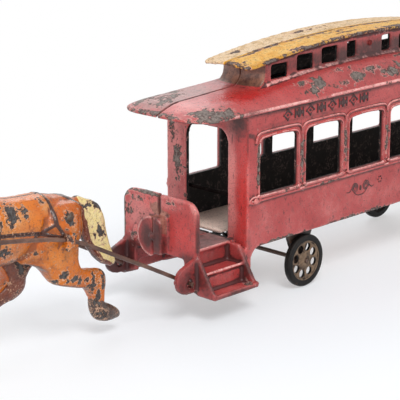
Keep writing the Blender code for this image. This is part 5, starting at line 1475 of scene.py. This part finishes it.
# each groove's depth, width and line: thigh, ham, tendon, shoulder, mouth and jaw
grooves = [
    (0.5, 1.3, [(-178.0, 52.0), (-180.5, 44.0), (-178.0, 36.0), (-172.0, 28.5)]),
    (0.35, 1.1, [(-163.5, 50.0), (-166.0, 41.0), (-165.5, 33.0)]),
    (0.3, 0.8, [(-155.0, 24.5), (-152.2, 19.0), (-151.6, 13.0)]),
    (0.5, 1.4, [(-205.0, 58.0), (-207.5, 48.0), (-206.0, 38.0)]),
    (0.35, 0.4, [(-243.6, 73.4), (-240.0, 73.6), (-238.2, 74.4)]),
    (0.35, 0.7, [(-229.5, 76.0), (-228.2, 81.0), (-230.0, 85.0)]),
]
crestLine = [(-205.0, 66.0), (-211.0, 72.0), (-217.0, 79.5), (-223.0, 86.5), (-228.5, 89.5)]


def harnessMask(points, normals, side):
    x, z = points[:, 0], points[:, 2]
    mask = np.zeros(len(x))
    for half, line in harness.values():
        mask = np.maximum(mask, 1 - ramp(lineDistance(x, z, line), half - 0.35, half + 0.35))
    leg = (z < 36) & (x < -203.5)
    return mask * ramp(side * normals[:, 1], -0.35, 0.05) * (side * points[:, 1] > 0.2) * ~leg


def tailMask(points):
    line = [(p.x, p.y) for p in curved([(x, z, 0) for x, z in tailLine], 3, loop=True)]
    x, z = points[:, 0], points[:, 2]
    grown = within(x, z, line) | (lineDistance(x, z, line + line[:1]) < 0.9)
    return grown * ramp(x, -157.5, -156.0) * (abs(points[:, 1]) < 5)


def sculptHorse(item, side):
    # small forms that follow the surface: harness straps, tail strands, muscles, face
    points, normals = pointsOf(item), normalsOf(item)
    x, z = points[:, 0], points[:, 2]
    straps = harnessMask(points, normals, side)
    lift = straps * horse["strapProud"]
    tail = tailMask(points)
    along = (x + 0.42 * z) + 0.9 * np.sin(z * 0.22)
    lift += tail * 0.1 * np.sin(along * 2.1 + 2.0 * grain(points, 7.0, 9.0)) * ramp(52 - z, 0, 5)
    flank = np.exp(-(((x + 184) / 5.0) ** 2 + ((z - 43) / 5.5) ** 2))
    fromEye = np.hypot(x + 232.6, z - 83.4)
    eye, socket = np.exp(-((fromEye / 1.15) ** 4)), np.exp(-((fromEye / 2.3) ** 2))
    nostril = np.exp(-((np.hypot(x + 241.8, z - 75.4) / 0.8) ** 2))
    pressed = 0.8 * flank - 0.55 * eye + 0.45 * socket + 0.5 * nostril
    for depth, width, line in grooves:
        pressed += depth * np.exp(-(lineDistance(x, z, line) / width) ** 2)
    lift -= pressed * ramp(side * normals[:, 1], 0.1, 0.5)
    crest = lineDistance(x, z, crestLine)
    mane = (1 - ramp(crest, 3.4, 4.4)) * (z > 66)
    lift += mane * (0.35 + 0.28 * np.sin((x - 0.9 * z) * 1.9))
    hoofTop = np.exp(-((z - hoofLine(x)) / 0.6) ** 2) * (z < 20)
    lift -= 0.25 * hoofTop
    putPoints(item, points + normals * lift[:, None])
    return straps, tail, mane


def hoofLine(x):
    # the height under which each leg is hoof
    line = np.where(x > -157, 13.2 - 0.35 * (x + 147), 0)
    line = np.where((x < -193) & (x > -209), 16.0 + 0.4 * (x + 201), line)
    line = np.where((x < -209) & (x > -223), 9.4, line)
    return np.where(x < -223, 12.5, line)


def halveHorse(item, side):
    # keep one side of the joint plane and close the cut
    bm = bmesh.new()
    bm.from_mesh(item.data)
    cutPlace = (0, side * horse["seam"], 0)
    made = bmesh.ops.bisect_plane(bm, geom=bm.verts[:] + bm.edges[:] + bm.faces[:], plane_co=cutPlace,
                                  plane_no=(0, -side, 0), clear_outer=True)
    rim = [edge for edge in made["geom_cut"] if isinstance(edge, bmesh.types.BMEdge)]
    bmesh.ops.holes_fill(bm, edges=rim)
    bmesh.ops.triangulate(bm, faces=[face for face in bm.faces if len(face.verts) > 4])
    bmesh.ops.recalc_face_normals(bm, faces=bm.faces)
    bm.to_mesh(item.data)
    bm.free()


nearHorseWearAndShading = {
    "bare": [
        ((-192.7, -8, 57), (3.8, 6, 4.6), 0.86), ((-186.6, -9.2, 56), (2.2, 5, 2.8), 0.84),
        ((-199.8, -11, 55.6), (2.4, 4, 3.4), 0.84), ((-169.3, -10, 50.6), (2.6, 4, 3.2), 0.84),
        ((-197.9, -10, 43.6), (5, 4, 2.6), 0.72), ((-171.2, -10, 30), (2.2, 4, 2), 0.72),
        ((-163.2, -8, 25.6), (1.6, 3, 1.8), 0.66), ((-177.4, -7, 58.4), (2.6, 4, 2.6), 0.62),
        ((-153.4, -8, 18), (1.5, 4, 6.5), 0.66), ((-150, -8, 24.4), (1.8, 4, 2.4), 0.56),
        ((-152.5, -8, 9.5), (3.5, 4, 3), 0.62), ((-147.6, -3, 50.4), (2.8, 4, 1.8), 0.76),
        ((-147.9, -3, 40.6), (2.4, 4, 2.6), 0.76), ((-152.6, -3, 51.4), (3, 4, 1.6), 0.6),
        ((-206, -10, 50), (4, 4, 4), 0.6), ((-214, -9, 60), (4, 4, 4), 0.62),
        ((-222, -6, 76), (3, 3, 4), 0.6), ((-216, -6, 20), (3, 4, 6), 0.56),
        ((-196, -9, 62), (3, 6, 1.6), 0.6), ((-166.4, -9, 27.4), (2.2, 4, 1.2), 0.8),
        ((-159.8, -8, 25), (1.4, 3, 1.1), 0.8), ((-157.2, -8, 22.6), (1.8, 3, 1.1), 0.78),
        ((-151.6, -8, 22.4), (0.9, 4, 3.2), 0.76), ((-174.6, -9, 27.6), (2.2, 4, 1.1), 0.7),
        ((-184.5, -9, 40.5), (3, 4, 1.1), 0.7), ((-205, -9, 57), (2.4, 4, 2), 0.7),
        ((-191, -9, 39), (3.4, 4, 1), 0.72), ((-156.3, -8, 23.5), (1, 4, 4.4), 0.72),
        ((-153.9, -8, 15.5), (1.2, 4, 4.6), 0.7), ((-155.4, -8, 9.5), (2.2, 4, 2.4), 0.72),
        ((-169.5, -9, 27), (1.4, 4, 0.9), 0.74),
    ],
    "soot": [
        ((-177, -10, 47.4), (5, 4, 1.2), 0.45), ((-190, -10, 48.8), (12, 4, 0.8), 0.3),
        ((-198, -9, 42), (8, 4, 2.4), 0.3), ((-160.4, -9, 51), (2.4, 4, 4.5), 0.6),
        ((-163.4, -9, 45), (1.2, 4, 6), 0.5), ((-154, -8, 22), (1.2, 4, 5), 0.4),
        ((-153.6, -8, 12), (3, 4, 4), 0.45), ((-183, -8, 37.6), (7, 4, 1.8), 0.4),
        ((-170, -10, 22.6), (9, 5, 1.8), 0.45), ((-171, -9, 58), (9, 5, 1.4), 0.5),
        ((-174.8, -10, 54), (1.6, 4, 5), 0.55),
    ],
    "deep": [
        ((-182.5, -10, 52), (5.4, 5, 3.8), 1), ((-185, -8, 58.2), (7, 6, 2), 0.9),
        ((-176.5, -11, 47.5), (5, 4, 3.5), 0.6), ((-152.6, -8, 12), (2, 4, 3), 0.8),
    ],
    "fade": [
        ((-173, -10, 38), (8, 6, 7), 0.6), ((-190, -9, 41), (9, 6, 5), 0.5),
        ((-196, -9, 50), (6, 6, 5), 0.9), ((-190, -9, 54.5), (7, 5, 3.6), 1),
        ((-176, -9, 56.6), (3, 5, 2.6), 0.9), ((-186, -9, 49.6), (9, 5, 1), 0.9),
        ((-168, -9, 45), (2, 5, 4), 0.6),
    ],
}
farHorseWearAndShading = {
    "bare": [
        ((-190, 10, 52), (4, 5, 4), 0.8), ((-170, 10, 50), (3, 5, 3), 0.74),
        ((-203, 10, 46), (4, 5, 3), 0.7), ((-183, 6, 27), (5, 5, 5), 0.55),
        ((-148, 3, 42), (3, 4, 3), 0.7),
    ],
    "deep": [
        ((-180, 10, 50), (8, 5, 5), 0.7),
    ],
    "fade": [
        ((-175, 10, 40), (9, 6, 6), 0.5),
    ],
}
horseLook = {
    "paint": (214, 116, 12), "paintToo": (190, 86, 6), "deep": (226, 120, 2), "soot": (66, 36, 26),
    "faded": (224, 154, 88), "fadeShare": 0.7, "edgeFade": 0.3,
    "grime": (104, 48, 28), "grimeShare": 0.6, "pits": 0.9, "mottle": 0.6,
    "rim": (236, 186, 150), "rimShare": 0.9, "rimSpread": 0.6, "stain": (206, 160, 130), "nicks": 0.6,
    "iron": (50, 42, 39), "ironToo": (94, 90, 88), "chipEdge": (48, 28, 20),
    "chipSize": 2.6, "bareWear": 0.9, "edgeWear": 0.4, "mediumWear": 1.45, "fineWear": 1.25,
    "roughness": 0.28, "gloss": 0.5, "relief": 0.18,
}
horseZoneColours = [
    zone("brown", (128, 66, 44), (92, 46, 34)), zone("cream", (232, 206, 136), (240, 218, 160)),
    zone("hoof", (74, 60, 54), (104, 82, 70)), zone("strap", (74, 42, 33), (48, 30, 26)),
]
horsePaint = wornPaint("worn_orange_enamel", horseLook, horseZoneColours)


def horseZones(item, side, straps, tail, mane, markings):
    points, normals = pointsOf(item), normalsOf(item)
    x, y, z = points.T
    rearEdge = lineDistance(x, z, [(-158.4, 53.2)] + tailLine[1:7])
    edgeWidth = 1.5 + 0.5 * grain(points, 3.0, 2.0)
    fieldOf(item, "cream", np.maximum(tail * ramp(rearEdge - edgeWidth, -0.3, 0.3), mane * 0.9))
    # painted shade on the leg faces turned towards the other half, together with the tail's own brown
    inner = ramp(-side * normals[:, 1], 0.2, 0.6) * (z < 36)
    fieldOf(item, "brown", np.clip(inner + tail, 0, 1))
    fieldOf(item, "hoof", ramp(hoofLine(x) - z + 0.6 * grain(points, 2.0, 7.0), -0.3, 0.5) * (z < 20))
    fieldOf(item, "strap", straps)
    seamDark = 1 - ramp(abs(y), 0.35, 0.8)
    ragged = 0.4 * grain(points, 2.2, 5.0)
    bare = np.maximum(patches(points, markings["bare"], ragged), 0.75 * seamDark)
    fieldOf(item, "bare", bare * (1 - 0.5 * straps))
    fieldOf(item, "deep", patches(points, markings["deep"]))
    fieldOf(item, "fade", patches(points, markings["fade"]))
    # painted shade on faces turned down
    undersideShade = ramp(-normals[:, 2], 0.4, 0.85)
    fieldOf(item, "soot", np.maximum(patches(points, markings.get("soot", [])), 0.75 * undersideShade) * (1 - tail))


def buildHorseHalf(name, node, fore, hind, side, markings):
    item = skin(name, horseSolids(fore, hind, side), horse["voxel"], rounds=5, lumps=0.08, lumpSize=2.6)
    masks = dict(zip(("strapMask", "tailMask", "maneMask"), sculptHorse(item, side)))
    readShape(item, horse["voxel"])
    for key, values in masks.items():
        fieldOf(item, key, values)
    halveHorse(item, side)
    straps, tail, mane = (valuesOf(item, key) for key in masks)
    for key in masks:
        item.data.attributes.remove(item.data.attributes[key])
    horseZones(item, side, straps, tail, mane, markings)
    return setDown(item, horsePaint, "team", [node])


buildHorseHalf("near_horse_skin", "near_horse_half", nearFore, nearHind, -1, nearHorseWearAndShading)
buildHorseHalf("far_horse_skin", "far_horse_half", farFore, farHind, 1, farHorseWearAndShading)
for node in ("horse_rump_rivet", "horse_shoulder_rivet", "horse_wheel_pin"):
    cadSkin(node, gearVoxel["rod"], darkIron, "team", plainZones(bare=0.4), lumps=0.03)
cadSkin("horse_wheel", gearVoxel["wheel"], darkIron, "running_wheel", plainZones(fade=0.3),
        lumps=0.0)
print("horse done")


# The stage: pale floor, soft light and the camera of the photograph

photoView = {
    "heading": 45.85, "tilt": 15.43, "lens": 141.4, "sensor": 36.0, "clipStart": 0.01,
    "aimX": -90.99, "aimZ": 40.36, "distance": 624.5,
}


def buildCamera():
    heading, tilt = math.radians(photoView["heading"]), math.radians(photoView["tilt"])
    ahead = Vector((math.sin(heading) * math.cos(tilt), math.cos(heading) * math.cos(tilt), -math.sin(tilt)))
    right = Vector((math.cos(heading), -math.sin(heading), 0))
    aim = Vector((carX + photoView["aimX"] * mm, 0, photoView["aimZ"] * mm))
    camera = linked("camera", bpy.data.cameras.new("camera"))
    camera.data.lens, camera.data.sensor_width = photoView["lens"], photoView["sensor"]
    camera.data.clip_start = photoView["clipStart"]
    camera.matrix_world = Matrix((right, right.cross(ahead), -ahead)).transposed().to_4x4()
    camera.matrix_world.translation = aim - ahead * photoView["distance"] * mm
    bpy.context.scene.camera = camera


studio = {
    "light": (0.93, 0.97, 1.0, 1.0), "strength": 0.54, "white": (1.0, 1.0, 1.0, 1.0),
    "aimX": -0.03, "aimZ": 0.04, "floor": (247, 250, 255), "roughness": 0.75, "half": 4.0, "floorZ": -0.0001,
    "nearGlow": 0.36, "fadeFrom": 0.06, "fadeTo": 0.23,
}
lamps = {
    "key": {"from": (-0.55, -0.75, 1.05), "size": 0.5, "power": 9.4},
    "fill": {"from": (-1.1, 0.1, 0.45), "size": 0.9, "power": 3.6},
    "back": {"from": (0.7, 0.9, 0.9), "size": 0.9, "power": 4.0},
}


def buildLamps():
    aim = Vector((carX + studio["aimX"], 0, studio["aimZ"]))
    for name, lamp in lamps.items():
        light = bpy.data.lights.new(name, "AREA")
        light.size, light.energy = lamp["size"], lamp["power"]
        item = linked(name, light)
        item.location = Vector(lamp["from"]) + Vector((carX, 0, 0))
        item.rotation_euler = (item.location - aim).to_track_quat("Z", "Y").to_euler()


def seenDirectly(paint):
    # 1 for what the camera sees straight, mirrored or through glass
    kinds = ("Camera", "Glossy", "Transmission")
    rays = [paint.node("ShaderNodeLightPath", output="Is " + kind + " Ray") for kind in kinds]
    return (rays[0] + rays[1] + rays[2]).step(0.0, 1.0)


def buildStage():
    world = bpy.data.worlds.new("studio")
    bpy.context.scene.world = world
    shell = Paint(world, "Background")
    seen = seenDirectly(shell)
    shell.set("Color", shell.mix(seen, studio["light"], studio["white"]))
    shell.set("Strength", studio["strength"] + seen * (1 - studio["strength"]))

    # the floor glows white, less so close to the toy, where shadows show on it
    paint = Paint(bpy.data.materials.new("pale_floor"))
    paint.set("Base Color", tint(*studio["floor"]))
    paint.set("Roughness", studio["roughness"])
    reach = paint.vector("LENGTH", paint.place(), output="Value").step(studio["fadeFrom"], studio["fadeTo"])
    lit = seenDirectly(paint) * (studio["nearGlow"] + (1 - studio["nearGlow"]) * reach)
    glow = {"Color": studio["white"], "Strength": 1.0}
    white = paint.node("ShaderNodeEmission", sockets=glow, output="Emission")
    sockets = {0: lit, 1: Wire(paint, paint.shader.outputs[0]), 2: white}
    mixed = paint.node("ShaderNodeMixShader", sockets=sockets, output="Shader")
    paint.join(mixed, paint.tree.nodes["Material Output"].inputs["Surface"])
    half = studio["half"]
    corners = [(-half, -half, 0), (half, -half, 0), (half, half, 0), (-half, half, 0)]
    floor = asObject("studio_floor", (corners, [(0, 1, 2, 3)]))
    floor.location.z = studio["floorZ"]
    floor.data.materials.append(paint.owner)


buildCamera()
buildLamps()
buildStage()
view = bpy.context.scene.view_settings
view.view_transform = "Standard"
bpy.data.materials.remove(scratchFinish)
print("stage done")
